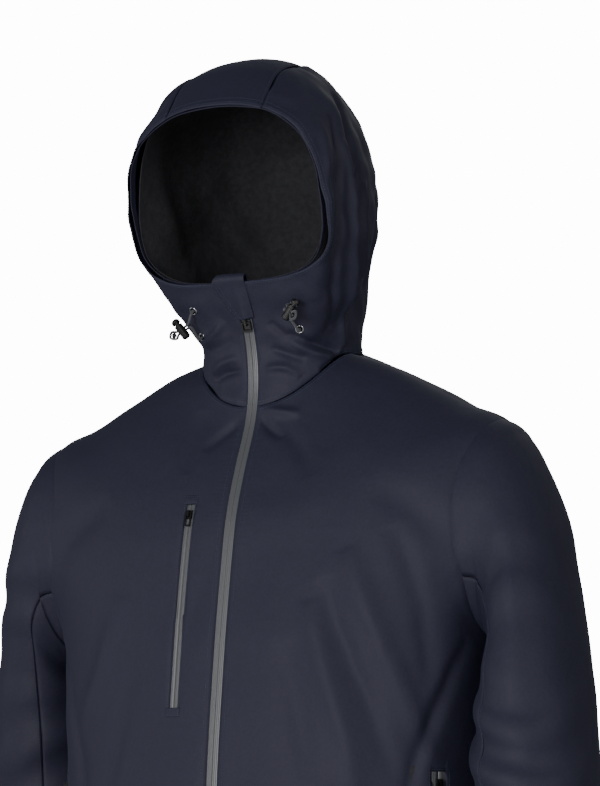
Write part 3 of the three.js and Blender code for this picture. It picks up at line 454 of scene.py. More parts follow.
HOOD_SIDE_FOLDS = (
    Fold(
        ((104, -80, 205), (111, -75, 175), (112, -68, 145), (107, -60, 105), (94, -35, 60), (80, -12, 5)),
        9.0,
        6.2,
    ),
    Fold(((111, -50, 190), (111, -52, 145), (105, -42, 100), (90, -18, 55)), -7.3, 5.7),
    Fold(((96, -98, 226), (111, -92, 190), (112, -95, 140), (100, -84, 80), (75, -40, 20)), -7.8, 5.7),
    Fold(((90, -62, 258), (108, -70, 215), (112, -62, 178)), -5.1, 6.6),
    Fold(((110, -30, 175), (108, -28, 120), (90, 3, 65)), 7.3, 7.1),
    Fold(((103, -113, 220), (111, -121, 156), (103, -113, 97), (77, -77, 44)), 4.3, 7.6),
    Fold(((96, 30, 170), (98, 22, 120), (86, 30, 70)), -6.5, 7.6),
)
COLLAR_FOLDS = (
    Fold(((44, -74, 14), (54, -64, 8), (66, -50, 3), (80, -22, -1)), -6.8, 4.0, 1.6),
    Fold(((48, -70, 4), (60, -56, -5), (76, -30, -8)), 5.1, 4.8),
    Fold(((84, -10, -1), (78, -30, -12), (66, -45, -24)), -6.1, 3.8, 1.6),
    Fold(((22, -72, 0), (40, -66, -8), (56, -56, -12)), -3.8, 3.8),
    Fold(((14, -68, -22), (30, -65, -16), (44, -60, -20), (50, -56, -30)), 3.8, 4.3),
    Fold(((26, -78, 26), (38, -74, 16), (44, -72, 6)), -3.4, 3.8),
    Fold(((-12, -66, -22), (-30, -64, -18), (-48, -58, -28)), -4.7, 3.8, 1.6),
    Fold(((-14, -70, -8), (-32, -68, -8), (-52, -58, -20)), 3.8, 4.8),
    Fold(((-20, -74, 10), (-40, -70, 2), (-56, -60, 2)), -3.0, 4.8),
    Fold(((-26, -80, 30), (-40, -74, 18), (-60, -60, 12)), 2.7, 4.8),
)
CHEST_FOLDS = (
    Fold(((6, -64, -66), (22, -74, -84), (40, -84, -92)), -4.3, 4.5, 1.6),
    Fold(((14, -64, -62), (34, -66, -68), (56, -66, -68)), 3.8, 5.0),
    Fold(((30, -70, -72), (60, -86, -100), (84, -100, -134)), -2.4, 9.0),
    Fold(((-6, -68, -72), (-26, -74, -84), (-46, -84, -104)), -3.4, 6.0),
    Fold(((-58, -62, -60), (-62, -76, -90), (-60, -92, -130)), -2.0, 10.0),
    Fold(
        ((128, -112, -214), (144, -114, -250), (168, -109, -313), (192, -94, -380), (211, -77, -450)),
        5.7,
        12.0,
    ),
    Fold(((108, -122, -240), (126, -120, -300), (150, -114, -360), (176, -106, -440)), -5.4, 11.0),
    Fold(((92, -126, -262), (112, -128, -330), (134, -124, -400), (146, -122, -470)), 5.1, 12.0),
    Fold(((70, -134, -300), (88, -136, -370), (104, -136, -440)), -3.4, 13.0),
    Fold(((176, -102, -190), (198, -91, -270), (206, -80, -350)), -4.3, 10.0),
    Fold(((226, -44, -300), (214, -66, -345), (196, -86, -400), (180, -98, -470)), -5.7, 8.0),
    Fold(((-226, -50, -290), (-204, -80, -330), (-176, -100, -400), (-150, -116, -480)), -5.1, 10.0),
    Fold(((-120, -118, -250), (-140, -116, -320), (-170, -108, -400)), 4.1, 13.0),
    Fold(((-96, -128, -300), (-112, -130, -380), (-130, -126, -460)), -3.4, 12.0),
    Fold(((150, -104, -150), (190, -84, -175), (222, -60, -220)), -2.7, 16.0),
    Fold(((-150, -104, -150), (-190, -84, -180), (-222, -60, -230)), -3.0, 16.0),
)
BODY_FOLDS = CHEST_FOLDS + (
    Fold(((60, -140, -520), (110, -138, -545), (170, -118, -560)), -2.4, 14.0),
    Fold(((-50, -140, -560), (-110, -138, -590), (-180, -112, -600)), 2.6, 15.0),
    Fold(((40, -150, -640), (120, -140, -660), (190, -104, -650)), 2.2, 16.0),
    Fold(((-40, -150, -480), (-100, -142, -505), (-160, -120, -500)), -2.2, 15.0),
    Fold(((-20, 146, -340), (60, 148, -380), (150, 128, -430)), -3.4, 15.0),
    Fold(((30, 140, -200), (90, 138, -260), (170, 118, -330)), 2.8, 16.0),
    Fold(((10, 146, -300), (-70, 146, -350), (-160, 124, -390)), -3.0, 15.0),
    Fold(((-40, 146, -460), (50, 146, -500), (150, 126, -530)), 3.2, 17.0),
    Fold(((40, 146, -560), (-50, 147, -600), (-150, 128, -620)), -2.8, 16.0),
    Fold(((-30, 150, -650), (60, 150, -690), (160, 128, -690)), 2.4, 15.0),
    Fold(((0, 110, -30), (30, 124, -80), (80, 130, -140)), -1.8, 12.0),
)
SHELL_RIPPLES = (Ripple(150, 1.3, 3), Ripple(62, 0.42, 5), Ripple(24, 0.07, 8))
HOOD_RIPPLES = (Ripple(95, 1.2, 11), Ripple(42, 0.9, 12), Ripple(20, 0.22, 13))
SLEEVE_FOLDS = (
    Gathers(-250, 48, 64, 2.4, 0.55, (-1.0, -0.5)),
    Gathers(-420, 75, 58, 3.6, -0.45, (-0.7, -0.8)),
    Gathers(-600, 60, 46, 2.6, 0.5, (0.3, -1.0)),
)
LINING_FOLDS = (Ripple(70, 1.6, 21), Ripple(34, 0.7, 22), Ripple(16, 0.2, 23))
BODY_LINING_FOLDS = (Ripple(110, 1.0, 31),)
FLAP_FOLDS = (Ripple(60, 0.3, 41),)
SLEEVE_LINING_FOLDS = (Ripple(90, 0.8, 51),)
CENTRE_PANEL_FOLDS = (Ripple(120, 0.5, 61), Ripple(45, 0.2, 62))
FACING_FOLDS = (Ripple(40, 0.5, 63),)
GUARD_FOLDS = (Ripple(26, 0.25, 71),)


# ------------------------------------------------------------------ finishes


def linear(code: str) -> tuple[float, float, float, float]:
    """A hex sRGB colour as linear RGBA."""
    values = [int(code[i : i + 2], 16) / 255 for i in (1, 3, 5)]
    rgb = [v / 12.92 if v <= 0.04045 else ((v + 0.055) / 1.055) ** 2.4 for v in values]
    return rgb[0], rgb[1], rgb[2], 1.0


def add_node(
    tree: bpy.types.NodeTree, kind: str, links: dict | None = None, **values: object
) -> bpy.types.Node:
    """Adds a shader node.

    Args:
        tree: the node tree.
        kind: the node's class.
        links: input name or number to the output socket that feeds it.
        values: attributes of the node, or inputs where the name starts with in_.

    Returns:
        The new node.
    """
    node = tree.nodes.new(kind)
    for name, value in values.items():
        if name.startswith("in_"):
            node.inputs[name[3:].replace("_", " ")].default_value = value
        else:
            setattr(node, name, value)
    for name, socket in (links or {}).items():
        tree.links.new(socket, node.inputs[name])
    return node


@dataclass(frozen=True)
class Finish:
    """A plain finish with an optional uneven tone and grain."""

    name: str
    colour: str
    roughness: float
    metallic: float = 0.0
    specular: float = 0.5
    sheen: float = 0.0
    sheen_colour: str = "#ffffff"
    mottle: float = 0.0
    mottle_mm: float = 2.0
    grain: float = 0.0
    grain_mm: float = 0.8
    crinkle: float = 0.0
    crinkle_mm: float = 9.0
    lines: float = 0.0
    lines_mm: float = 1.9
    coat: float = 0.0

    def make(self) -> bpy.types.Material:
        """Builds the material."""
        made = bpy.data.materials.new(self.name)
        made.use_nodes = True
        tree = made.node_tree
        shader = tree.nodes["Principled BSDF"]
        shader.inputs["Base Color"].default_value = linear(self.colour)
        shader.inputs["Roughness"].default_value = self.roughness
        shader.inputs["Metallic"].default_value = self.metallic
        shader.inputs["Specular IOR Level"].default_value = self.specular
        shader.inputs["Sheen Weight"].default_value = self.sheen
        shader.inputs["Sheen Roughness"].default_value = 0.45
        shader.inputs["Sheen Tint"].default_value = linear(self.sheen_colour)
        shader.inputs["Coat Weight"].default_value = self.coat
        shader.inputs["Coat Roughness"].default_value = 0.15
        place = add_node(tree, "ShaderNodeTexCoord").outputs["Object"]
        if self.mottle:
            self._tone(tree, place, shader)
        normal = None
        for height, size in ((self.crinkle, self.crinkle_mm), (self.grain, self.grain_mm)):
            if height:
                normal = self._bump(tree, place, height, size, normal)
        if self.lines:
            normal = self._ribs(tree, place, normal)
        if normal is not None:
            tree.links.new(normal, shader.inputs["Normal"])
        return made

    def _tone(self, tree: bpy.types.NodeTree, place: bpy.types.NodeSocket, shader: bpy.types.Node) -> None:
        """Varies the colour a little from place to place."""
        scale = 1 / (self.mottle_mm * MM)
        noise = add_node(tree, "ShaderNodeTexNoise", {"Vector": place}, in_Scale=scale, in_Detail=3.0)
        span = add_node(tree, "ShaderNodeMapRange", {"Value": noise.outputs[0]})
        span.inputs["From Min"].default_value = 0.3
        span.inputs["From Max"].default_value = 0.7
        span.inputs["To Min"].default_value = 1 - self.mottle
        span.inputs["To Max"].default_value = 1 + self.mottle
        base = linear(self.colour)
        tone = add_node(tree, "ShaderNodeVectorMath", {1: span.outputs[0]}, operation="MULTIPLY")
        tone.inputs[0].default_value = base[:3]
        tree.links.new(tone.outputs[0], shader.inputs["Base Color"])

    def _bump(
        self,
        tree: bpy.types.NodeTree,
        place: bpy.types.NodeSocket,
        height: float,
        size: float,
        normal: bpy.types.NodeSocket | None,
    ) -> bpy.types.NodeSocket:
        """A grain of the given height and size in millimetres on top of another normal."""
        scale = 1 / (size * MM)
        noise = add_node(tree, "ShaderNodeTexNoise", {"Vector": place}, in_Scale=scale, in_Detail=2.0)
        links = {"Height": noise.outputs[0]}
        if normal is not None:
            links["Normal"] = normal
        bump = add_node(tree, "ShaderNodeBump", links, in_Strength=1.0, in_Distance=height * MM)
        return bump.outputs[0]

    def _ribs(
        self, tree: bpy.types.NodeTree, place: bpy.types.NodeSocket, normal: bpy.types.NodeSocket | None
    ) -> bpy.types.NodeSocket:
        """Fine ribs that run up and down, as on a laminated zip tape."""
        wave = add_node(tree, "ShaderNodeTexWave", {"Vector": place}, bands_direction="X")
        wave.inputs["Scale"].default_value = WHOLE / (20 * self.lines_mm * MM)
        wave.inputs["Distortion"].default_value = 0.6
        links = {"Height": wave.outputs["Fac"]}
        if normal is not None:
            links["Normal"] = normal
        bump = add_node(tree, "ShaderNodeBump", links, in_Strength=1.0, in_Distance=self.lines * MM)
        return bump.outputs[0]


# Plain-woven nylon with a waterproof membrane, dry to the touch with a faint sheen.
SHELL = Finish(
    "woven nylon shell", "#1f1f30", 0.66, specular=0.28, sheen=0.10, sheen_colour="#5c6584",
    mottle=0.10, mottle_mm=3.0, grain=0.10, grain_mm=0.9, crinkle=0.30, crinkle_mm=11.0,
)
# Brushed polyester knit inside.
KNIT = Finish(
    "brushed polyester lining", "#2c2c2f", 0.92, specular=0.15, sheen=0.25, sheen_colour="#5a5a5e",
    mottle=0.18, mottle_mm=6.0, grain=0.25, grain_mm=1.4,
)
# Polyurethane film laminated over a reversed coil's tape.
TAPE = Finish(
    "laminated zip tape", "#484a4d", 0.42, specular=0.6, mottle=0.05, mottle_mm=1.5,
    grain=0.05, grain_mm=0.7, lines=0.10, lines_mm=1.9,
)
# Polyester sewing thread in the shell's colour.
THREAD = Finish("polyester thread", "#262d44", 0.6, sheen=0.3, sheen_colour="#7d86a8")
# Acetal moulding.
ACETAL = Finish("acetal moulding", "#0d0d0f", 0.32, specular=0.55, grain=0.02, grain_mm=0.8)
# Enamelled zinc casting.
ENAMEL = Finish("enamelled zinc slider", "#0f0f11", 0.28, specular=0.6, coat=0.3)
# Brass with a dark nickel plate.
NICKEL = Finish("dark nickel plate", "#8d8f94", 0.24, metallic=1.0)
# Braided elastic over a rubber core.
BRAID = Finish("braided elastic cord", "#3d3f45", 0.7, sheen=0.3, grain=0.25, grain_mm=0.9)
# Narrow woven polyester tape.
WEBBING = Finish("woven polyester tape", "#17181c", 0.8, grain=0.12, grain_mm=0.8)
# Smooth pale painted floor.
FLOOR = Finish("pale studio floor", "#e9e9e9", 0.7)


# ------------------------------------------------------------------ cloth pieces


def mesh_object(
    name: str, bm: bmesh.types.BMesh, material: bpy.types.Material, smooth: bool = True
) -> bpy.types.Object:
    """Writes a bmesh in millimetres as an object in metres at the origin."""
    bmesh.ops.scale(bm, vec=(MM, MM, MM), verts=bm.verts)
    mesh = bpy.data.meshes.new(name)
    bm.to_mesh(mesh)
    bm.free()
    mesh.materials.append(material)
    for face in mesh.polygons:
        face.use_smooth = smooth
    made = bpy.data.objects.new(name, mesh)
    bpy.context.collection.objects.link(made)
    return made


def calmness(points: np.ndarray, x: float, half: float, top: float, bottom: float) -> np.ndarray:
    """From 0 beside an upright zip, where the tape holds the cloth flat, to 1 away from it."""
    aside = np.maximum(np.abs(points[:, 0] - x) - half, 0)
    past = np.maximum(np.maximum(points[:, 2] - top, bottom - points[:, 2]), 0)
    gap = np.hypot(aside, past)
    held = np.exp(-((gap / 8.0) ** 2)) * (points[:, 1] < 0)
    return 1 - held


@dataclass(frozen=True)
class Fillet:
    """Rounds the crease where this cloth meets another closed surface, and marks the seam in it."""

    tree: BVHTree
    radius: float = 40.0
    low_radius: float = 10.0
    high_z: float = -170.0
    low_z: float = -290.0
    groove: float = 1.3
    groove_width: float = 2.2

    def lift(self, points: np.ndarray) -> np.ndarray:
        """How far each point moves outwards."""
        gap = np.empty(len(points))
        for i, point in enumerate(points):
            place, normal, _, distance = self.tree.find_nearest(Vector(point))
            gap[i] = math.copysign(distance, (Vector(point) - place).dot(normal))
        share = np.clip((points[:, 2] - self.low_z) / (self.high_z - self.low_z), 0, 1)
        radius = self.low_radius + (self.radius - self.low_radius) * share
        outside = radius / 4 * np.clip(1 - gap / radius, 0, 1) ** 2
        inside = np.maximum(radius / 4 + gap / 2, 0)
        groove = self.groove * np.exp(-((gap / self.groove_width) ** 2))
        return np.where(gap > 0, outside, inside) - groove


@dataclass
class Cloth:
    """A panel of cloth on a surface.

    corner turns u and v (0 to 1 across and along) into the surface's two values.
    """

    name: str
    surface: Surface
    corner: Corner
    cells: tuple[int, int]
    material: bpy.types.Material
    side: Side = Side.LEFT
    depth: float = 0.0
    thick: float = SHELL_THICK
    folds: tuple = ()
    dip: float = SEAM_DIP
    calm: tuple[tuple[float, float, float, float], ...] = ()
    joins: tuple = ()
    points: np.ndarray = field(init=False)
    out: np.ndarray = field(init=False)
    smooth_points: np.ndarray = field(init=False)
    width: float = field(init=False, default=0.0)
    length: float = field(init=False, default=0.0)

    def __post_init__(self) -> None:
        """Lays the grid of points out."""
        n, m = self.cells
        u, v = np.meshgrid(np.linspace(0, 1, n + 1), np.linspace(0, 1, m + 1))
        a, b = self.corner(u, v)
        flip = np.array([self.side.value, 1.0, 1.0])
        base = self.surface.at(a, b) * flip
        self.out = self.surface.normal(a, b) * flip
        self.smooth_points = base
        across = np.linalg.norm(np.diff(base, axis=1), axis=2)
        along = np.linalg.norm(np.diff(base, axis=0), axis=2)
        row = across.sum(axis=1)
        column = along.sum(axis=0)
        self.width, self.length = float(row.max()), float(column.max())
        lift = np.zeros(base.shape[:2])
        flat = base.reshape(-1, 3)
        for fold in self.folds:
            lift += fold.lift(flat).reshape(lift.shape)
        for strip in self.calm:
            lift *= calmness(flat, *strip).reshape(lift.shape)
        for join in self.joins:
            lift += join.lift(flat).reshape(lift.shape)
        lift -= self.depth
        left = u * row[:, None]
        right = (1 - u) * row[:, None]
        low = v * column[None, :]
        high = (1 - v) * column[None, :]
        edge = np.minimum(np.minimum(left, right), np.minimum(low, high))
        lift -= self.dip * np.exp(-((edge / SEAM_REACH) ** 2))
        path = np.where(np.minimum(left, right) < np.minimum(low, high), low, left)
        pucker = np.sin(path / 1.9 + 2 * np.sin(path / 31)) * np.exp(-((edge - 6) / 6) ** 2)
        lift += 0.07 * pucker * (self.dip > 0)
        self.points = base + self.out * lift[..., None]
        if self.folds:
            self._turn_normals()

    def _turn_normals(self) -> None:
        """Refreshes the normals after the folds have moved the cloth."""
        du = np.gradient(self.points, axis=1)
        dv = np.gradient(self.points, axis=0)
        n = np.cross(du, dv)
        n /= np.maximum(np.linalg.norm(n, axis=2, keepdims=True), 1e-9)
        same = np.sign((n * self.out).sum(axis=2, keepdims=True))
        self.out = n * np.where(same == 0, 1, same)

    def read(self, u: np.ndarray, v: np.ndarray) -> Pair:
        """Points and normals of the finished cloth at u and v."""
        n, m = self.cells
        x = np.clip(u, 0, 1) * n
        y = np.clip(v, 0, 1) * m
        i = np.clip(x.astype(int), 0, n - 1)
        j = np.clip(y.astype(int), 0, m - 1)
        s = (x - i)[:, None]
        t = (y - j)[:, None]
        found = []
        for grid in (self.points, self.out):
            low = grid[j, i] * (1 - s) + grid[j, i + 1] * s
            high = grid[j + 1, i] * (1 - s) + grid[j + 1, i + 1] * s
            found.append(low * (1 - t) + high * t)
        return found[0], found[1]

    def edge_line(self, edge: str, inset: float, start: float = 0.0, end: float = 1.0) -> Pair:
        """A line on the cloth at a distance in from one edge, for stitches.

        Args:
            edge: "left", "right", "low" or "high", in u and v.
            inset: distance in from the edge.
            start: where the line starts, as a share of the edge.
            end: where it ends.

        Returns:
            Points and normals.
        """
        share = np.linspace(start, end, 400)
        if edge in ("left", "right"):
            rows = np.linalg.norm(np.diff(self.points, axis=1), axis=2).sum(axis=1)
            width = np.interp(share, np.linspace(0, 1, len(rows)), rows)
            u = inset / width
            return self.read(u if edge == "left" else 1 - u, share)
        columns = np.linalg.norm(np.diff(self.points, axis=0), axis=2).sum(axis=0)
        length = np.interp(share, np.linspace(0, 1, len(columns)), columns)
        v = inset / length
        return self.read(share, v if edge == "low" else 1 - v)

    def build(self, trims: Sequence["Trim"] = ()) -> bpy.types.Object:
        """Makes the object: a grid moved onto the cloth's points, trimmed, with its thickness."""
        n, m = self.cells
        bm = bmesh.new()
        bmesh.ops.create_grid(bm, x_segments=n, y_segments=m, size=0.5)
        for vert in bm.verts:
            i = round((vert.co.x + 0.5) * n)
            j = round((vert.co.y + 0.5) * m)
            vert.co = Vector(self.points[j, i])
        bm.normal_update()
        votes = 0
        for face in list(bm.faces)[:: max(1, len(bm.faces) // 60)]:
            centre = face.calc_center_median()
            gaps = np.linalg.norm(self.points.reshape(-1, 3) - np.array(centre), axis=1)
            votes += 1 if face.normal.dot(Vector(self.out.reshape(-1, 3)[gaps.argmin()])) > 0 else -1
        if votes < 0:
            bmesh.ops.reverse_faces(bm, faces=bm.faces)
        for trim in trims:
            trim.apply(bm)
        made = mesh_object(self.name, bm, self.material)
        thick = made.modifiers.new("thickness", "SOLIDIFY")
        thick.thickness = self.thick * MM
        thick.offset = -1.0
        return made

    def declare(self, made: bpy.types.Object) -> None:
        area = sum(face.area for face in made.data.polygons)
        flat = (max(self.width, NARROWEST) * MM, max(self.length, NARROWEST) * MM)
        area = min(area, flat[0] * flat[1])


class Trim:
    """Something that cuts away part of a cloth's faces."""

    def apply(self, bm: bmesh.types.BMesh) -> None:
        """Cuts the mesh, which is in millimetres."""
        raise NotImplementedError


@dataclass(frozen=True)
class InsideTrim(Trim):
    """Removes the faces that lie deeper than a margin inside a closed surface."""

    tree: BVHTree
    margin: float

    def apply(self, bm: bmesh.types.BMesh) -> None:
        """Removes the faces inside."""
        gone = []
        for face in bm.faces:
            centre = face.calc_center_median()
            place, normal, _, _ = self.tree.find_nearest(centre)
            if place is not None and (centre - place).dot(normal) < -self.margin:
                gone.append(face)
        bmesh.ops.delete(bm, geom=gone, context="FACES")


@dataclass(frozen=True)
class SlotTrim(Trim):
    """Cuts an upright slot through a front panel and tucks its edges in."""

    x: float
    half: float
    top: float
    bottom: float
    tuck: float = 1.6

    def apply(self, bm: bmesh.types.BMesh) -> None:
        """Cuts along the slot's four sides, removes what is inside and tucks the edges."""
        reach = 12.0
        planes = (
            (Vector((self.x - self.half, 0, 0)), Vector((1, 0, 0))),
            (Vector((self.x + self.half, 0, 0)), Vector((1, 0, 0))),
            (Vector((0, 0, self.top)), Vector((0, 0, 1))),
            (Vector((0, 0, self.bottom)), Vector((0, 0, 1))),
        )
        for place, way in planes:
            near = [f for f in bm.faces if self._holds(f.calc_center_median(), reach)]
            edges = {e for f in near for e in f.edges}
            verts = {v for f in near for v in f.verts}
            bmesh.ops.bisect_plane(bm, geom=[*verts, *edges, *near], plane_co=place, plane_no=way)
        gone = [f for f in bm.faces if self._holds(f.calc_center_median(), 0.0)]
        bmesh.ops.delete(bm, geom=gone, context="FACES")
        bm.normal_update()
        for vert in bm.verts:
            if vert.is_boundary and self._holds(vert.co, 0.1):
                vert.co -= vert.normal * self.tuck

    def _holds(self, place: Vector, margin: float) -> bool:
        """True if a place is within the slot grown by a margin, at the front."""
        inside_x = abs(place.x - self.x) < self.half + margin
        return inside_x and self.bottom - margin < place.z < self.top + margin and place.y < 0


@dataclass(frozen=True)
class HoleTrim(Trim):
    """Removes the faces round a point, under an eyelet's flange."""

    centre: Vector
    radius: float

    def apply(self, bm: bmesh.types.BMesh) -> None:
        """Removes the faces near the point."""
        gone = [f for f in bm.faces if (f.calc_center_median() - self.centre).length < self.radius]
        bmesh.ops.delete(bm, geom=gone, context="FACES")


def closed_tree(surface: Surface, first: float, side: Side) -> BVHTree:
    """A search tree of a ring surface from a row to its end, with outward faces."""
    turns = np.linspace(0, WHOLE, 97)
    rows = np.linspace(first, surface.end, 121)
    a, b = np.meshgrid(turns, rows)
    flip = np.array([side.value, 1.0, 1.0])
    points = (surface.at(a, b) * flip).reshape(-1, 3)
    normals = (surface.normal(a, b) * flip).reshape(-1, 3)
    count = len(turns)
    faces = []
    for j in range(len(rows) - 1):
        for i in range(count - 1):
            faces.append((j * count + i, j * count + i + 1, (j + 1) * count + i + 1, (j + 1) * count + i))
    k = faces[len(faces) // 2]
    p = [Vector(points[q]) for q in k]
    turned = (p[1] - p[0]).cross(p[3] - p[0]).dot(Vector(normals[k[0]]))
    if turned < 0:
        faces = [tuple(reversed(f)) for f in faces]
    return BVHTree.FromPolygons([tuple(q) for q in points], faces)


@dataclass
class Stitching:
    """Rows of lockstitch on cloth, gathered into one object."""

    name: str
    material: bpy.types.Material
    pitch: float = 3.0
    stitch: float = 2.3
    thread: float = 0.5
    centres: list = field(default_factory=list)
    frames: list = field(default_factory=list)

    def row(self, line: Pair) -> None:
        """Sews along a line of points and normals."""
        points, normals = line
        runs = np.linalg.norm(np.diff(points, axis=0), axis=1)
        along = np.concatenate([[0.0], np.cumsum(runs)])
        places = np.arange(self.pitch / 2, along[-1] - self.stitch / 2, self.pitch)
        if not len(places):
            return
        back = self._at(points, along, places - self.stitch / 2)
        ahead = self._at(points, along, places + self.stitch / 2)
        n = self._unit(self._at(normals, along, places))
        t = self._unit(ahead - back)
        b = self._unit(np.cross(n, t))
        self.centres.append((back + ahead) / 2 + n * self.thread * 0.15)
        self.frames.append(np.stack([t * self.stitch, b * self.thread, np.cross(t, b) * self.thread], 1))

    @staticmethod
    def _unit(rows: np.ndarray) -> np.ndarray:
        """Rows scaled to length 1."""
        return rows / np.maximum(np.linalg.norm(rows, axis=1, keepdims=True), 1e-9)

    @staticmethod
    def _at(values: np.ndarray, along: np.ndarray, places: np.ndarray) -> np.ndarray:
        """The values at distances along the line."""
        return np.stack([np.interp(places, along, values[:, k]) for k in range(3)], 1)

    def build(self) -> bpy.types.Object:
        """Makes the object from copies of one rounded stitch."""
        bm = bmesh.new()
        bmesh.ops.create_uvsphere(bm, u_segments=6, v_segments=4, radius=0.5)
        bmesh.ops.rotate(bm, cent=(0, 0, 0), matrix=Matrix.Rotation(QUARTER, 3, "Y"), verts=bm.verts)
        bm.verts.index_update()
        shape = np.array([v.co[:] for v in bm.verts])
        faces = [[v.index for v in f.verts] for f in bm.faces]
        bm.free()
        centres = np.concatenate(self.centres)
        frames = np.concatenate(self.frames)
        points = np.einsum("vk,ski->svi", shape, frames) + centres[:, None, :]
        count = len(shape)
        every = [[q + s * count for q in f] for s in range(len(centres)) for f in faces]
        mesh = bpy.data.meshes.new(self.name)
        mesh.from_pydata((points.reshape(-1, 3) * MM).tolist(), [], every)
        mesh.materials.append(self.material)
        for face in mesh.polygons:
            face.use_smooth = True
        made = bpy.data.objects.new(self.name, mesh)
        bpy.context.collection.objects.link(made)
        return made


# ------------------------------------------------------------------ sub-assemblies


@dataclass
class Materials:
    """Every finish of the jacket, made once."""

    shell: bpy.types.Material = field(default_factory=SHELL.make)
    knit: bpy.types.Material = field(default_factory=KNIT.make)
    tape: bpy.types.Material = field(default_factory=TAPE.make)
    thread: bpy.types.Material = field(default_factory=THREAD.make)
    acetal: bpy.types.Material = field(default_factory=ACETAL.make)
    enamel: bpy.types.Material = field(default_factory=ENAMEL.make)
    nickel: bpy.types.Material = field(default_factory=NICKEL.make)
    braid: bpy.types.Material = field(default_factory=BRAID.make)
    webbing: bpy.types.Material = field(default_factory=WEBBING.make)


def register(made: bpy.types.Object, node: str, slot: str, body: str = "body") -> None:
    """Puts a piece in its node's place, on a body.

    Args:
        made: The piece.
        node: The node that it stands for.
        slot: Not used.
        body: The body that it moves with.
    """
    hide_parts(node)
    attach(made, body)


def lay(cloth: Cloth, node: str, slot: str, trims: Sequence[Trim] = ()) -> None:
    """Builds a cloth that rides on the body and puts it in its node's place.

    Args:
        cloth: The cloth to build.
        node: The node that it stands for.
        slot: Passed on to register, which does not use it.
        trims: What is cut away from it.
    """
    made = cloth.build(trims)
    register(made, node, slot)
    cloth.declare(made)


def between(start: RowTurn, stop: RowTurn, first: float, last: float) -> Corner:
    """A corner function between two edges, each a turn as a function of the row."""

    def corner(u: np.ndarray, v: np.ndarray) -> Pair:
        """The turn and the row at u and v."""
        row = first + (last - first) * v
        unique = row[:, :1]
        low, high = start(unique), stop(unique)
        return low + (high - low) * u, np.broadcast_to(row, u.shape)

    return corner


@dataclass
class Pocket:
    """A zipped pocket in the front: its opening, zip tapes and bag."""

    prefix: str
    suffix: str
    side: Side
    x: float
    top: float
    bottom: float
    bag_from: float
    bag_to: float
    bag_top: float
    bag_bottom: float
    slit: float = 4.2
    tape: float = 8.6
    gap: float = 0.12
    tape_depth: float = 1.5
    tape_past: float = 4.0
    bag_depth: float = 4.6

    @property
    def trim(self) -> SlotTrim:
        """The opening in the shell."""
        return SlotTrim(self.x * self.side.value, self.slit, self.top, self.bottom)

    def build(self, mats: Materials) -> None:
        """Makes the two tapes and the bag."""
        for label, way in (("inner", -1), ("outer", 1)):

            def strip(u: np.ndarray, v: np.ndarray, way: int = way) -> Pair:
                """One tape, from the zip's line outwards and from below the opening up."""
                x = self.x + way * (self.gap + (self.tape - self.gap) * u)
                return x, self.bottom - self.tape_past + (self.top - self.bottom + 2 * self.tape_past) * v

            name = f"{self.prefix}_zip_tape_{label}{self.suffix}"
            tape = Cloth(
                f"{name}_laminate", BODY_FRONT, strip, (4, 70), mats.tape, self.side,
                depth=self.tape_depth, thick=0.7, dip=0.0,
            )
            lay(tape, name, "zip_tape")

        def sheet(u: np.ndarray, v: np.ndarray) -> Pair:
            """The bag's outline."""
            x = self.x + self.bag_from + (self.bag_to - self.bag_from) * u
            return x, self.bag_bottom + (self.bag_top - self.bag_bottom) * v

        name = f"{self.prefix}_pocket_bag{self.suffix}"
        bag = Cloth(
            f"{name}_cloth", BODY_FRONT, sheet, (24, 50), mats.knit, self.side,
            depth=self.bag_depth, thick=1.0, dip=0.0,
        )
        lay(bag, name, "lining_fabric")

    def stitch(self, threads: Stitching) -> None:
        """Sews a row round the opening."""
        z = np.linspace(self.bottom - 3, self.top + 3, 200)
        x = np.linspace(-self.slit - 3, self.slit + 3, 20)
        flip = np.array([self.side.value, 1.0, 1.0])
        lines = [(np.full(200, self.x + d), z) for d in (-self.slit - 2.2, self.slit + 2.2)]
        lines += [(self.x + x, np.full(20, h)) for h in (self.bottom - 2.4, self.top + 2.4)]
        for xs, zs in lines:
            threads.row((BODY_FRONT.at(xs, zs) * flip, BODY_FRONT.normal(xs, zs) * flip))


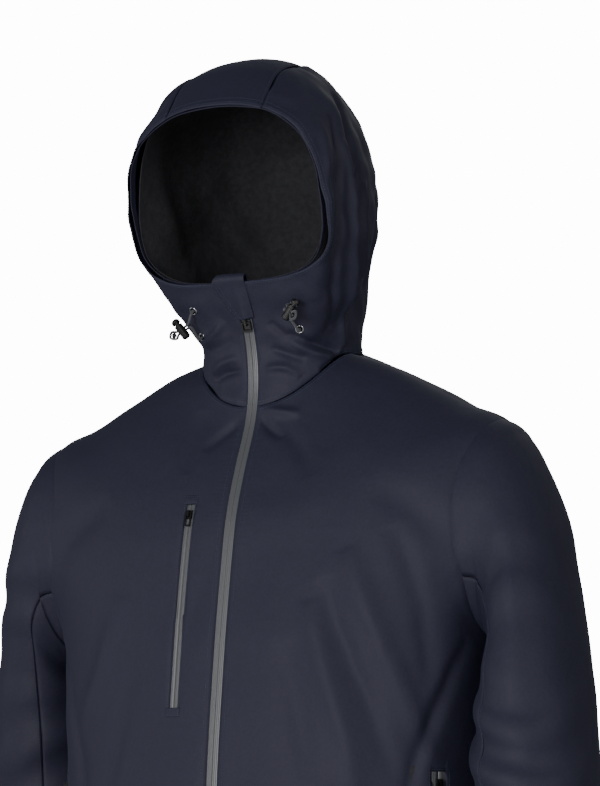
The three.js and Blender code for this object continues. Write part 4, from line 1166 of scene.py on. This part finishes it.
@dataclass
class Body:
    """The shell and lining of the body, its storm flap and its seams."""

    mats: Materials
    pockets: list[Pocket]
    cells: tuple[int, int] = (90, 230)
    back_cells: tuple[int, int] = (130, 190)
    seam_gap: float = 0.15
    hem_band: float = 26.0
    lining_edge: float = 22.5
    flap_half: float = 21.0
    flap_bottom: float = -756.0
    flap_length: float = 802.0
    flap_depth: float = 8.4

    def build(self) -> None:
        """Makes every panel of the body."""
        threads = Stitching("body_stitching", self.mats.thread)
        trees = {side: closed_tree(SLEEVES[side], 0.15, side) for side in Side}
        for side in Side:
            own = [p for p in self.pockets if p.side is side]
            panel = self._front(
                side, f"front_panel_{side.label}", SLIT_HALF, 0.0, self.mats.shell, self.cells,
                (Fillet(trees[side]),), self._held(own),
            )
            trims = [InsideTrim(trees[side], SHELL_MARGIN), *[p.trim for p in own]]
            lay(panel, f"front_panel_{side.label}", "shell_fabric", trims)
            for edge, inset in (("left", 5.0), ("low", 3.0), ("low", 8.0), ("high", self.hem_band)):
                threads.row(panel.edge_line(edge, inset))
            for pocket in own:
                pocket.stitch(threads)
            name = f"body_lining_{side.label}"
            inner = self._front(side, name, self.lining_edge, LINING_DEPTH, self.mats.knit, (36, 90))
            lay(inner, name, "lining_fabric", [InsideTrim(trees[side], LINING_MARGIN)])
        for name, depth, mat, slot, cells in (
            ("back_panel", 0.0, self.mats.shell, "shell_fabric", self.back_cells),
            ("body_lining_back", LINING_DEPTH, self.mats.knit, "lining_fabric", (60, 90)),
        ):
            joins = tuple(Fillet(trees[s]) for s in Side) if depth == 0.0 else ()
            panel = self._back(name, depth, mat, cells, joins)
            margin = SHELL_MARGIN if depth == 0.0 else LINING_MARGIN
            lay(panel, name, slot, [InsideTrim(trees[s], margin) for s in Side])
            if depth == 0.0:
                for edge, inset in (("low", 3.0), ("low", 8.0), ("high", self.hem_band)):
                    threads.row(panel.edge_line(edge, inset))
        self._flap()
        made = threads.build()
        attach(made, "body")

    @staticmethod
    def _held(pockets: Sequence[Pocket]) -> tuple:
        """The strips that the zips hold flat."""
        strips = [(0.0, SLIT_HALF, 50.0, -760.0)]
        strips += [(p.x * p.side.value, p.slit, p.top, p.bottom) for p in pockets]
        return tuple(strips)

    def _front(
        self,
        side: Side,
        name: str,
        edge: float,
        depth: float,
        mat: bpy.types.Material,
        cells: tuple[int, int],
        joins: tuple[Fillet, ...] = (),
        calm: tuple[tuple[float, float, float, float], ...] = (),
    ) -> Cloth:
        """One half of the front from the zip to the side seam."""
        corner = between(
            lambda row: TORSO.turn_where(row, 0, edge, 0, QUARTER),
            lambda row: TORSO.turn_where(row, 1, -self.seam_gap, 0, QUARTER),
            0.0,
            TORSO.end,
        )
        folds = BODY_FOLDS + SHELL_RIPPLES if depth == 0.0 else BODY_LINING_FOLDS
        dip = SEAM_DIP if depth == 0.0 else 0.0
        return Cloth(
            f"{name}_cloth", TORSO, corner, cells, mat, side, depth,
            folds=folds, dip=dip, calm=calm, joins=joins,
        )

    def _back(
        self,
        name: str,
        depth: float,
        mat: bpy.types.Material,
        cells: tuple[int, int],
        joins: tuple[Fillet, ...] = (),
    ) -> Cloth:
        """The back from side seam to side seam."""

        def start(row: np.ndarray) -> np.ndarray:
            """The wearer's left side seam."""
            return TORSO.turn_where(row, 1, self.seam_gap, QUARTER, HALF)

        corner = between(start, lambda row: WHOLE - start(row), 0.0, TORSO.end)
        folds = BODY_FOLDS + SHELL_RIPPLES if depth == 0.0 else BODY_LINING_FOLDS
        dip = SEAM_DIP if depth == 0.0 else 0.0
        return Cloth(
            f"{name}_cloth", TORSO, corner, cells, mat, Side.LEFT, depth, folds=folds, dip=dip, joins=joins
        )

    def _flap(self) -> None:
        """The storm flap behind the main zip."""

        def strip(u: np.ndarray, v: np.ndarray) -> Pair:
            """The flap's outline."""
            return self.flap_half * (2 * u - 1), self.flap_bottom + self.flap_length * v

        flap = Cloth(
            "inner_storm_flap_cloth", THROAT, strip, (12, 160), self.mats.knit,
            depth=self.flap_depth, thick=1.0, folds=FLAP_FOLDS, dip=0.0,
        )
        lay(flap, "inner_storm_flap", "shell_fabric")


@dataclass
class Arm:
    """One sleeve: two shell panels, its lining, cuff tab and stitching."""

    side: Side
    mats: Materials
    upper_turn: float = math.radians(118)
    start: float = 0.15
    seam: float = 0.004
    bend_start: tuple[float, float, float] = (0.236, 0.0, -0.10)
    bend_end: tuple[float, float, float] = (0.300, 0.0, -0.26)
    tab_near: float = 18.0
    tab_far: float = 52.0
    tab_turns: tuple[float, float] = (-62.0, 52.0)
    last_row: float = 70.0

    def build(self) -> None:
        """Makes the sleeve's pieces."""
        surface = SLEEVES[self.side]
        label = self.side.label
        tree = closed_tree(TORSO, 0.0, self.side)
        threads = Stitching(f"{label}_sleeve_stitching", self.mats.thread)
        turn = self.upper_turn
        panels = (
            ("sleeve_upper", -turn, turn, (96, 170), 0.0),
            ("sleeve_under", turn, WHOLE - turn, (52, 170), 0.0),
            ("sleeve_lining", turn, turn + WHOLE, (64, 80), LINING_DEPTH),
        )
        for name, low, high, cells, depth in panels:
            shell = depth == 0.0
            panel = Cloth(
                f"{name}_{label}_cloth",
                surface,
                between(
                    lambda row, turn=low: np.full_like(row, turn + self.seam),
                    lambda row, turn=high: np.full_like(row, turn - self.seam),
                    self.start,
                    surface.end,
                ),
                cells,
                self.mats.shell if shell else self.mats.knit,
                self.side,
                depth,
                folds=SLEEVE_FOLDS + SHELL_RIPPLES if shell else SLEEVE_LINING_FOLDS,
                dip=0.4 if shell else 0.0,
                joins=(Fillet(tree),) if shell else (),
            )
            made = panel.build([InsideTrim(tree, SHELL_MARGIN if shell else LINING_MARGIN)])
            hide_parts(f"{name}_{label}")
            self._bend(made)
            panel.declare(made)
            if shell:
                for inset in (2.5, 20.0):
                    threads.row(panel.edge_line("high", inset))
                if name == "sleeve_upper":
                    threads.row(panel.edge_line("left", 2.5, 0.3))
                    threads.row(panel.edge_line("right", 2.5, 0.3))
        self._tab(surface)
        self._bend(threads.build())

    def _bend(self, made: bpy.types.Object) -> None:
        """Bakes a piece's placement into its mesh."""
        sign = self.side.value
        start = (self.bend_start[0] * sign, *self.bend_start[1:])
        end = (self.bend_end[0] * sign, *self.bend_end[1:])
        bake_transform(made)

    def _tab(self, surface: Sleeve) -> None:
        """The cuff's closing tab."""
        label = self.side.label
        high = surface.end - self.tab_near / self.last_row
        low = surface.end - self.tab_far / self.last_row
        first, last = (math.radians(turn) for turn in self.tab_turns)

        def corner(u: np.ndarray, v: np.ndarray) -> Pair:
            """The tab's outline, from its sewn end round the cuff."""
            return first + (last - first) * u, high + (low - high) * v

        tab = Cloth(
            f"cuff_tab_{label}_cloth", surface, corner, (50, 16), self.mats.shell, self.side,
            depth=-2.6, thick=1.3, dip=0.5,
        )
        made = tab.build()
        register(made, f"cuff_tab_{label}", "shell_fabric", f"{label}_cuff_tab")
        threads = Stitching(f"cuff_tab_stitching_{label}", self.mats.thread)
        for edge in ("left", "right", "low", "high"):
            threads.row(tab.edge_line(edge, 2.4))
        sewn = threads.build()
        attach(sewn, f"{label}_cuff_tab")
        tab.declare(made)


@dataclass
class Hood:
    """The hood with its collar: sides, centre panel, facing and lining."""

    mats: Materials
    holes: dict[Side, list[Vector]]
    centre_half: float = 55.0
    facing: float = 28.0
    gap: float = 0.002
    lining_gap: float = 27.0
    hole: float = 3.4
    facing_depth: float = 3.2
    neck_gap: float = 0.04
    overlap: float = 0.01

    def build(self) -> None:
        """Makes every panel of the hood and its stitching."""
        threads = Stitching("hood_stitching", self.mats.thread)
        end = HOOD.end

        def seam(row: np.ndarray) -> np.ndarray:
            """The seam of the centre panel on the wearer's left."""
            return HOOD.turn_where(row, 0, self.centre_half, QUARTER, HALF)

        for side in Side:
            corner = between(
                lambda row: HOOD.turn_where(row, 0, SLIT_HALF, 0, QUARTER),
                lambda row: seam(row) - self.gap,
                0.0,
                end,
            )
            share = 1.0 if side is Side.LEFT else 0.7
            mirrored = tuple(f.mirrored(share) for f in HOOD_SIDE_FOLDS)
            folds = HOOD_SIDE_FOLDS + mirrored + COLLAR_FOLDS + HOOD_RIPPLES
            panel = Cloth(
                f"hood_side_{side.label}_cloth", HOOD, corner, (110, 150), self.mats.shell, side, folds=folds,
                calm=((0.0, SLIT_HALF, 70.0, -80.0),),
            )
            holes = [HoleTrim(centre, self.hole) for centre in self.holes[side]]
            lay(panel, f"hood_side_{side.label}", "shell_fabric", holes)
            for edge, inset in (("left", 5.0), ("high", 3.5), ("high", 9.0), ("low", 3.0), ("right", 3.0)):
                threads.row(panel.edge_line(edge, inset))
        corner = between(
            lambda row: seam(row) + self.gap, lambda row: WHOLE - seam(row) - self.gap, 0.0, end
        )
        panel = Cloth(
            "hood_centre_panel_cloth", HOOD, corner, (44, 170), self.mats.shell,
            folds=CENTRE_PANEL_FOLDS,
        )
        lay(panel, "hood_centre_panel", "shell_fabric")
        for edge, inset in (("left", 3.0), ("right", 3.0), ("high", 3.5), ("high", 9.0)):
            threads.row(panel.edge_line(edge, inset))
        crown = float(np.linalg.norm(HOOD.at(HALF, end) - HOOD.at(HALF, end - 1)))
        row = end - self.facing / crown
        shell = self.mats.shell
        facing = self._inner("hood_facing", row, end, shell, (150, 12), self.facing_depth, FACING_FOLDS)
        lay(facing, "hood_facing", "shell_fabric")
        stop = row + self.overlap
        lining = self._inner(
            "hood_lining", self.neck_gap, stop, self.mats.knit, (150, 90), LINING_DEPTH, LINING_FOLDS
        )
        lay(lining, "hood_lining", "lining_fabric")
        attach(threads.build(), "body")

    def _inner(
        self,
        node: str,
        first: float,
        last: float,
        mat: bpy.types.Material,
        cells: tuple[int, int],
        depth: float,
        folds: tuple[Ripple, ...],
    ) -> Cloth:
        """A layer inside the hood, right round from one side of the zip to the other."""

        def start(row: np.ndarray) -> np.ndarray:
            """The layer's edge beside the zip on the wearer's left."""
            return HOOD.turn_where(row, 0, self.lining_gap, 0, QUARTER)

        corner = between(start, lambda row: WHOLE - start(row), first, last)
        return Cloth(f"{node}_cloth", HOOD, corner, cells, mat, depth=depth, folds=folds, dip=0.0)


@dataclass
class FrontZip:
    """The main zip's two laminated tapes and the chin guard over its top."""

    mats: Materials
    top: float = 46.0
    bottom: float = -756.0
    gap: float = 0.12
    width: float = 9.6
    depth: float = 1.5
    cells: tuple[int, int] = (8, 260)
    crown: float = 0.5
    crown_turn: float = QUARTER * 1.2
    guard_bottom: float = 31.0
    guard_inside: float = 40.0
    guard_lift: float = 1.5
    guard_thick: float = 1.3
    guard_crest: float = 1.5
    guard_bend: float = 6.0
    guard_low_x: float = -8.0
    guard_top_x: float = -27.0
    guard_end_x: float = -16.0
    guard_left_x: float = 10.0
    arch_height: float = 3.4
    arch_half: float = 9.0

    def build(self) -> None:
        """Makes the tapes and the guard."""
        for side in Side:
            node = f"main_zip_tape_{side.label}"
            tape = Cloth(
                f"{node}_laminate", THROAT, self._strip, self.cells, self.mats.tape, side,
                depth=self.depth, thick=0.8, dip=0.0,
            )
            crown = self.crown * np.cos(np.linspace(0, 1, self.cells[0] + 1) * self.crown_turn)
            tape.points = tape.points + tape.out * crown[None, :, None]
            lay(tape, node, "zip_tape")
        self._guard()

    def _strip(self, u: np.ndarray, v: np.ndarray) -> Pair:
        """The outline of a tape, from the middle of the zip outwards and from the hem up."""
        return self.gap + (self.width - self.gap) * u, self.bottom + (self.top - self.bottom) * v

    def _guard(self) -> None:
        """The flap that lies over the zip's top, folds over the face edge and ends inside."""
        crest = float(HOOD.at(0.0, HOOD.end)[..., 2]) + self.guard_crest
        bend = self.guard_bend
        outside = crest - self.guard_bottom
        around = math.pi * bend
        total = outside + around + crest - self.guard_inside
        up = np.array([0.0, -math.tan(CENTRE.top), 1.0])
        up /= np.linalg.norm(up)
        out = np.array([0.0, -up[2], up[1]])
        top = np.array([0.0, float(CENTRE.y(crest)), crest])

        def place(u: np.ndarray, v: np.ndarray) -> np.ndarray:
            """A place on the flap at u across and v along it."""
            s = v * total
            low = self.guard_low_x + (self.guard_top_x - self.guard_low_x) * np.clip(s / outside, 0, 1) ** 0.6
            past = np.clip((s - outside) / around, 0, 1)
            edge = np.where(s < outside, low, self.guard_top_x + (self.guard_end_x - self.guard_top_x) * past)
            x = edge + (self.guard_left_x - edge) * u
            z = self.guard_bottom + np.minimum(s, outside)
            arch = np.maximum(0, 1 - (x / self.arch_half) ** 2) ** 2 * np.clip(1 - s / outside, 0, 1)
            lift = self.guard_lift + self.arch_height * arch
            front = np.stack([x * 0, CENTRE.y(z), z], -1) + out * lift[..., None]
            turn = np.clip((s - outside) / bend, 0, math.pi)
            ahead = self.guard_lift - bend + bend * np.cos(turn)
            down = np.maximum(s - outside - around, 0)
            over = top + out * ahead[..., None] + up * (bend * np.sin(turn))[..., None]
            over = over - up * down[..., None]
            points = np.where((s < outside)[..., None], front, over)
            points[..., 0] = x
            return points

        guard = Cloth(
            "chin_guard_cloth", Formed(place), lambda u, v: (u, v), (36, 60), self.mats.shell,
            thick=self.guard_thick, dip=0.5, folds=GUARD_FOLDS,
        )
        made = guard.build()
        register(made, "chin_guard", "shell_fabric")
        threads = Stitching("chin_guard_stitching", self.mats.thread)
        for inset in (2.2, 6.5):
            threads.row(guard.edge_line("left", inset, 0.0, 0.42))
        threads.row(guard.edge_line("low", 2.2))
        sewn = threads.build()
        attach(sewn, "body")
        guard.declare(made)


@dataclass
class Garages:
    """The stitched patches over the ends of the chest zip."""

    mats: Materials
    x: float = 48.0
    half: float = 8.0
    length: float = 9.0
    top: float = -160.0
    bottom: float = -366.0
    lift: float = 1.1

    def build(self) -> None:
        """Makes both patches."""
        for label, low in (("top", self.top), ("bottom", self.bottom - self.length)):

            def patch(u: np.ndarray, v: np.ndarray, low: float = low) -> Pair:
                """The patch's outline."""
                return self.x - self.half + 2 * self.half * u, low + self.length * v

            cloth = Cloth(
                f"chest_garage_{label}_cloth", BODY_FRONT, patch, (16, 10), self.mats.shell, Side.RIGHT,
                depth=-self.lift, thick=0.9, dip=0.4,
            )
            made = cloth.build()
            register(made, f"chest_garage_{label}", "shell_fabric")
            name = f"chest_garage_{label}_stitching"
            threads = Stitching(name, self.mats.thread, pitch=2.4, stitch=1.8, thread=0.4)
            for edge in ("left", "right", "low", "high"):
                threads.row(cloth.edge_line(edge, 1.3))
            sewn = threads.build()
            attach(sewn, "body")
            cloth.declare(made)


@dataclass
class HangerLoop:
    """The strap that the jacket hangs from inside the neck."""

    mats: Materials
    half: float = 20.7
    splay: float = 7.0
    drop: float = 14.0
    width: float = 7.0
    middle_y: float = 65.8
    top_z: float = 13.7
    lean: float = 0.68

    def build(self) -> None:
        """Makes the strap as a ribbon along its line."""

        def place(u: np.ndarray, v: np.ndarray) -> np.ndarray:
            """A place on the strap at u across and v along it."""
            across = 2 * v - 1
            reach = np.abs(across) * (self.half + self.drop)
            flat = np.minimum(reach, self.half)
            down = np.maximum(reach - self.half, 0)
            x = np.sign(across) * (flat + down * self.splay / self.drop)
            y = self.middle_y + (u - 0.5) * self.width + down * self.lean
            return np.stack([x, y, self.top_z - down], -1)

        strap = Cloth(
            "hanger_loop_strap", Formed(place), lambda u, v: (u, v), (6, 60), self.mats.webbing,
            thick=1.2, dip=0.0,
        )
        lay(strap, "hanger_loop", "strap_webbing")


def dress(node: str, material: bpy.types.Material, bevel: float) -> bpy.types.Object:
    """Gives a kept node a finish, smooth faces and a small bevel in millimetres."""
    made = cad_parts[node]
    made.data.materials.clear()
    made.data.materials.append(material)
    if bevel:
        for face in made.data.polygons:
            face.use_smooth = True
        edge = made.modifiers.new("edges", "BEVEL")
        edge.width = bevel * MM
        edge.segments = 3
        edge.limit_method = "ANGLE"
        edge.angle_limit = math.radians(35)
        edge.harden_normals = True
        edge.use_clamp_overlap = True
    return made


@dataclass
class HoodCords:
    """The eyelets, cord loops, locks and beads at the sides of the collar."""

    mats: Materials
    places: tuple[tuple[float, float, float], ...] = ((58, -85.321, 42), (56, -69.793, 17))
    ways: tuple[tuple[float, float, float], ...] = ((0.15, -0.805, -0.573), (0.306, -0.823, -0.479))
    lock_axis: tuple[float, float, float] = (0.62, -0.05, 0.78)
    lock_way: tuple[float, float, float] = (0.6, -0.45, -0.65)
    shift: dict = field(default_factory=lambda: {Side.RIGHT: (8, -18, -10), Side.LEFT: (1, -21, 0)})
    lock_radius: float = 4.4
    slot_rise: float = 1.5
    bead_reach: float = 5.0
    bead_radius: float = 2.7

    def holes(self) -> dict[Side, list[Vector]]:
        """The eyelets' centres on each side."""
        return {s: [Vector((x * s.value, y, z)) for x, y, z in self.places] for s in Side}

    def build(self) -> None:
        """Dresses the hardware and makes the cords."""
        for side in Side:
            label = side.label
            for level, place, way in zip(("upper", "lower"), self.places, self.ways):
                self._ring(f"eyelet_{level}_{label}", side, Vector(place), Vector(way))
            lock = dress(f"cord_lock_{label}", self.mats.acetal, 0.35)
            head = dress(f"lock_plunger_{label}", self.mats.acetal, 0.35)
            bead = dress(f"cord_bead_{label}", self.mats.acetal, 0.0)
            for face in bead.data.polygons:
                face.use_smooth = True
            cord, length = self._cord(side)
            register(cord, f"cord_loop_{label}", "elastic_cord", f"{label}_lock")
            start = cord.data.splines[0].points[0].co
            tuple(start[:3])

    def _ring(self, node: str, side: Side, place: Vector, way: Vector) -> None:
        """A rolled eyelet spun from a rounded profile."""
        bm = bmesh.new()
        profile = []
        for k in range(13):
            a = HALF * 1.25 * k / 12 - 0.12 * HALF
            profile.append((3.7 + 1.05 * math.cos(a), 0.35 + 1.0 * math.sin(a)))
        profile += [(2.55, -0.4), (2.5, -2.1), (3.0, -2.1), (3.1, -0.2), (4.6, 0.1)]
        verts = [bm.verts.new((r, 0, h)) for r, h in profile]
        edges = [bm.edges.new((a, b)) for a, b in zip(verts, verts[1:] + verts[:1])]
        bmesh.ops.spin(
            bm, geom=[*verts, *edges], cent=(0, 0, 0), axis=(0, 0, 1), angle=WHOLE, steps=40, use_merge=True
        )
        bmesh.ops.remove_doubles(bm, verts=bm.verts, dist=0.001)
        bmesh.ops.recalc_face_normals(bm, faces=bm.faces)
        out = Vector((way.x * side.value, way.y, way.z)).normalized()
        turn = out.to_track_quat("Z", "Y").to_matrix().to_4x4()
        spot = Matrix.Translation((place.x * side.value, place.y, place.z))
        bmesh.ops.transform(bm, matrix=spot @ turn, verts=bm.verts)
        register(mesh_object(f"{node}_ring", bm, self.mats.nickel), node, "eyelet_metal")

    def _cord(self, side: Side) -> tuple[bpy.types.Object, float]:
        """The loop from the upper eyelet through the lock, round the bead and back to the lower one."""
        upper, lower = (Vector(p) for p in self.places)
        out = [Vector(w).normalized() for w in self.ways]
        middle = (upper + lower) / 2 + Vector(self.shift[side])
        axis = Vector(self.lock_axis).normalized()
        way = Vector(self.lock_way)
        way = (way - axis * way.dot(axis)).normalized()

        def at(x: float, z: float) -> Vector:
            """A place x along the way through the lock and z up its axis."""
            return middle + way * x + axis * (z + self.slot_rise)

        strand = (CORD_DIAMETER + 0.5) / 2
        turn = self.bead_radius + CORD_DIAMETER / 2 + 0.6
        bead = self.lock_radius + self.bead_reach
        side_x = self.lock_radius
        knots = [
            upper - out[0] * 1.4, upper + out[0] * 4,
            at(-side_x - 5, strand + 1), at(-side_x, strand), at(side_x, strand),
            at(bead, turn), at(bead + turn, 0), at(bead, -turn),
            at(side_x, -strand), at(-side_x, -strand), at(-side_x - 5, -strand - 1),
            lower + out[1] * 5, lower - out[1] * 1.4,
        ]
        points = centripetal(knots, 10)
        data = bpy.data.curves.new(f"hood_cord_{side.label}", "CURVE")
        data.dimensions = "3D"
        data.bevel_depth = CORD_DIAMETER * MM / 2
        data.bevel_resolution = 4
        data.use_fill_caps = True
        spline = data.splines.new("POLY")
        spline.points.add(len(points) - 1)
        flip = Vector((side.value, 1, 1))
        for spot, point in zip(spline.points, points):
            spot.co = (*(point * flip * MM), 1.0)
        data.materials.append(self.mats.braid)
        made = bpy.data.objects.new(f"hood_cord_{side.label}", data)
        bpy.context.collection.objects.link(made)
        length = sum((b - a).length for a, b in zip(points, points[1:])) * MM
        return made, length


def centripetal(knots: Sequence[Vector], pieces: int) -> list[Vector]:
    """A centripetal Catmull-Rom curve through knots, in short straight pieces."""
    ends = [knots[0] * 2 - knots[1], *knots, knots[-1] * 2 - knots[-2]]
    found = []
    for p0, p1, p2, p3 in zip(ends, ends[1:], ends[2:], ends[3:]):
        t0 = 0.0
        t1 = t0 + (p1 - p0).length ** 0.5
        t2 = t1 + (p2 - p1).length ** 0.5
        t3 = t2 + (p3 - p2).length ** 0.5
        for k in range(pieces):
            t = t1 + (t2 - t1) * k / pieces
            a1 = p0 * ((t1 - t) / (t1 - t0)) + p1 * ((t - t0) / (t1 - t0))
            a2 = p1 * ((t2 - t) / (t2 - t1)) + p2 * ((t - t1) / (t2 - t1))
            a3 = p2 * ((t3 - t) / (t3 - t2)) + p3 * ((t - t2) / (t3 - t2))
            b1 = a1 * ((t2 - t) / (t2 - t0)) + a2 * ((t - t0) / (t2 - t0))
            b2 = a2 * ((t3 - t) / (t3 - t1)) + a3 * ((t - t1) / (t3 - t1))
            found.append(b1 * ((t2 - t) / (t2 - t1)) + b2 * ((t - t1) / (t2 - t1)))
    return [*found, knots[-1]]


@dataclass
class ZipHardware:
    """The sliders and pulls of every zip."""

    mats: Materials

    def build(self) -> None:
        """Dresses the sliders and pulls."""
        for name in ("main_slider", "chest_slider", "hand_slider_right", "hand_slider_left"):
            dress(name, self.mats.enamel, 0.25)
        for name in ("main_pull", "chest_pull", "hand_pull_right", "hand_pull_left"):
            dress(name, self.mats.acetal, 0.3)


def from_angles(azimuth: float, elevation: float) -> Vector:
    """The direction from the jacket towards an azimuth and an elevation.

    Args:
        azimuth: Degrees round from the front, to the wearer's left.
        elevation: Degrees above the level.

    Returns:
        A unit vector.
    """
    a, e = math.radians(azimuth), math.radians(elevation)
    return Vector((math.sin(a) * math.cos(e), -math.cos(a) * math.cos(e), math.sin(e)))


@dataclass(frozen=True)
class Lamp:
    """A square soft lamp that faces the jacket, with its place in degrees and metres."""

    name: str
    azimuth: float
    elevation: float
    power: float
    distance: float = 3.4
    size: float = 1.2
    aim_z: float = -0.1

    def build(self) -> None:
        """Puts the lamp in its place."""
        data = bpy.data.lights.new(self.name, "AREA")
        data.size = self.size
        data.energy = self.power
        made = bpy.data.objects.new(self.name, data)
        bpy.context.collection.objects.link(made)
        way = from_angles(self.azimuth, self.elevation)
        made.location = Vector((0, 0, self.aim_z)) + way * self.distance
        made.rotation_euler = way.to_track_quat("Z", "Y").to_euler()


LAMPS = (
    Lamp("key", 2, 0, 88),
    Lamp("fill", 66, 14, 37),
    Lamp("side", -62, 6, 26),
    Lamp("rim", 180, 40, 11, distance=3.2, size=2.0),
)


@dataclass
class Studio:
    """The camera, the lamps, the white surround and the floor."""

    azimuth: float = 26.49
    elevation: float = -8.262
    target: tuple[float, float, float] = (0.017328, 0.008636, -0.035752)
    distance: float = 3.11306
    lens: float = 137.05
    light: float = 0.11
    white: float = 14.0
    floor_half: float = 4000.0
    floor_z: float = -1500.0

    def camera(self) -> None:
        """Sets the camera where the jacket is seen from a little below, from its front left."""
        data = bpy.data.cameras.new("camera")
        data.lens = self.lens
        data.sensor_width = 36
        data.sensor_fit = "AUTO"
        made = bpy.data.objects.new("camera", data)
        bpy.context.collection.objects.link(made)
        back = from_angles(self.azimuth, self.elevation)
        made.location = Vector(self.target) + back * self.distance
        made.rotation_euler = back.to_track_quat("Z", "Y").to_euler()
        bpy.context.scene.camera = made

    def build(self) -> None:
        """Lights the jacket and adds the floor and the surround, which the camera sees as white."""
        for lamp in LAMPS:
            lamp.build()
        world = bpy.data.worlds.new("white surround")
        bpy.context.scene.world = world
        world.use_nodes = True
        tree = world.node_tree
        plain = tree.nodes["Background"]
        plain.inputs["Color"].default_value = (1, 1, 1, 1)
        plain.inputs["Strength"].default_value = self.light
        seen = add_node(tree, "ShaderNodeBackground", in_Strength=self.white)
        seen.inputs["Color"].default_value = (1, 1, 1, 1)
        rays = add_node(tree, "ShaderNodeLightPath")
        links = {0: rays.outputs["Is Camera Ray"], 1: plain.outputs[0], 2: seen.outputs[0]}
        mix = add_node(tree, "ShaderNodeMixShader", links)
        tree.links.new(mix.outputs[0], tree.nodes["World Output"].inputs[0])
        bm = bmesh.new()
        bmesh.ops.create_grid(bm, x_segments=1, y_segments=1, size=self.floor_half)
        bmesh.ops.translate(bm, verts=bm.verts, vec=(0, 0, self.floor_z))
        mesh_object("floor", bm, FLOOR.make(), False)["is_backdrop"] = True


POCKETS = [
    Pocket("chest", "", Side.RIGHT, 48, -160, -366, 10.5, 104, -156, -380),
    Pocket("hand", "_right", Side.RIGHT, 209, -430, -606, -110, -10.5, -424, -640),
    Pocket("hand", "_left", Side.LEFT, 209, -430, -606, -110, -10.5, -424, -640),
]


def save_bounds(name: str, sizes: dict) -> None:
    low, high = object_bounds()
    sizes[name] = [[round(float(v), 5) for v in low], [round(float(v), 5) for v in high]]


def main() -> None:
    """Builds the whole scene in order."""
    logging.basicConfig(level=logging.INFO)
    sizes: dict = {}
    save_bounds("cad", sizes)
    studio = Studio()
    studio.camera()
    mats = Materials()
    cords = HoodCords(mats)
    cords.build()
    LOG.info("cords and locks")
    Body(mats, POCKETS).build()
    LOG.info("body")
    for side in Side:
        Arm(side, mats).build()
    LOG.info("sleeves")
    Hood(mats, cords.holes()).build()
    LOG.info("hood")
    FrontZip(mats).build()
    for pocket in POCKETS:
        pocket.build(mats)
    Garages(mats).build()
    HangerLoop(mats).build()
    ZipHardware(mats).build()
    LOG.info("zips, pockets and loop")
    studio.build()
    save_bounds("visual", sizes)


if __name__ == "__main__":
    main()
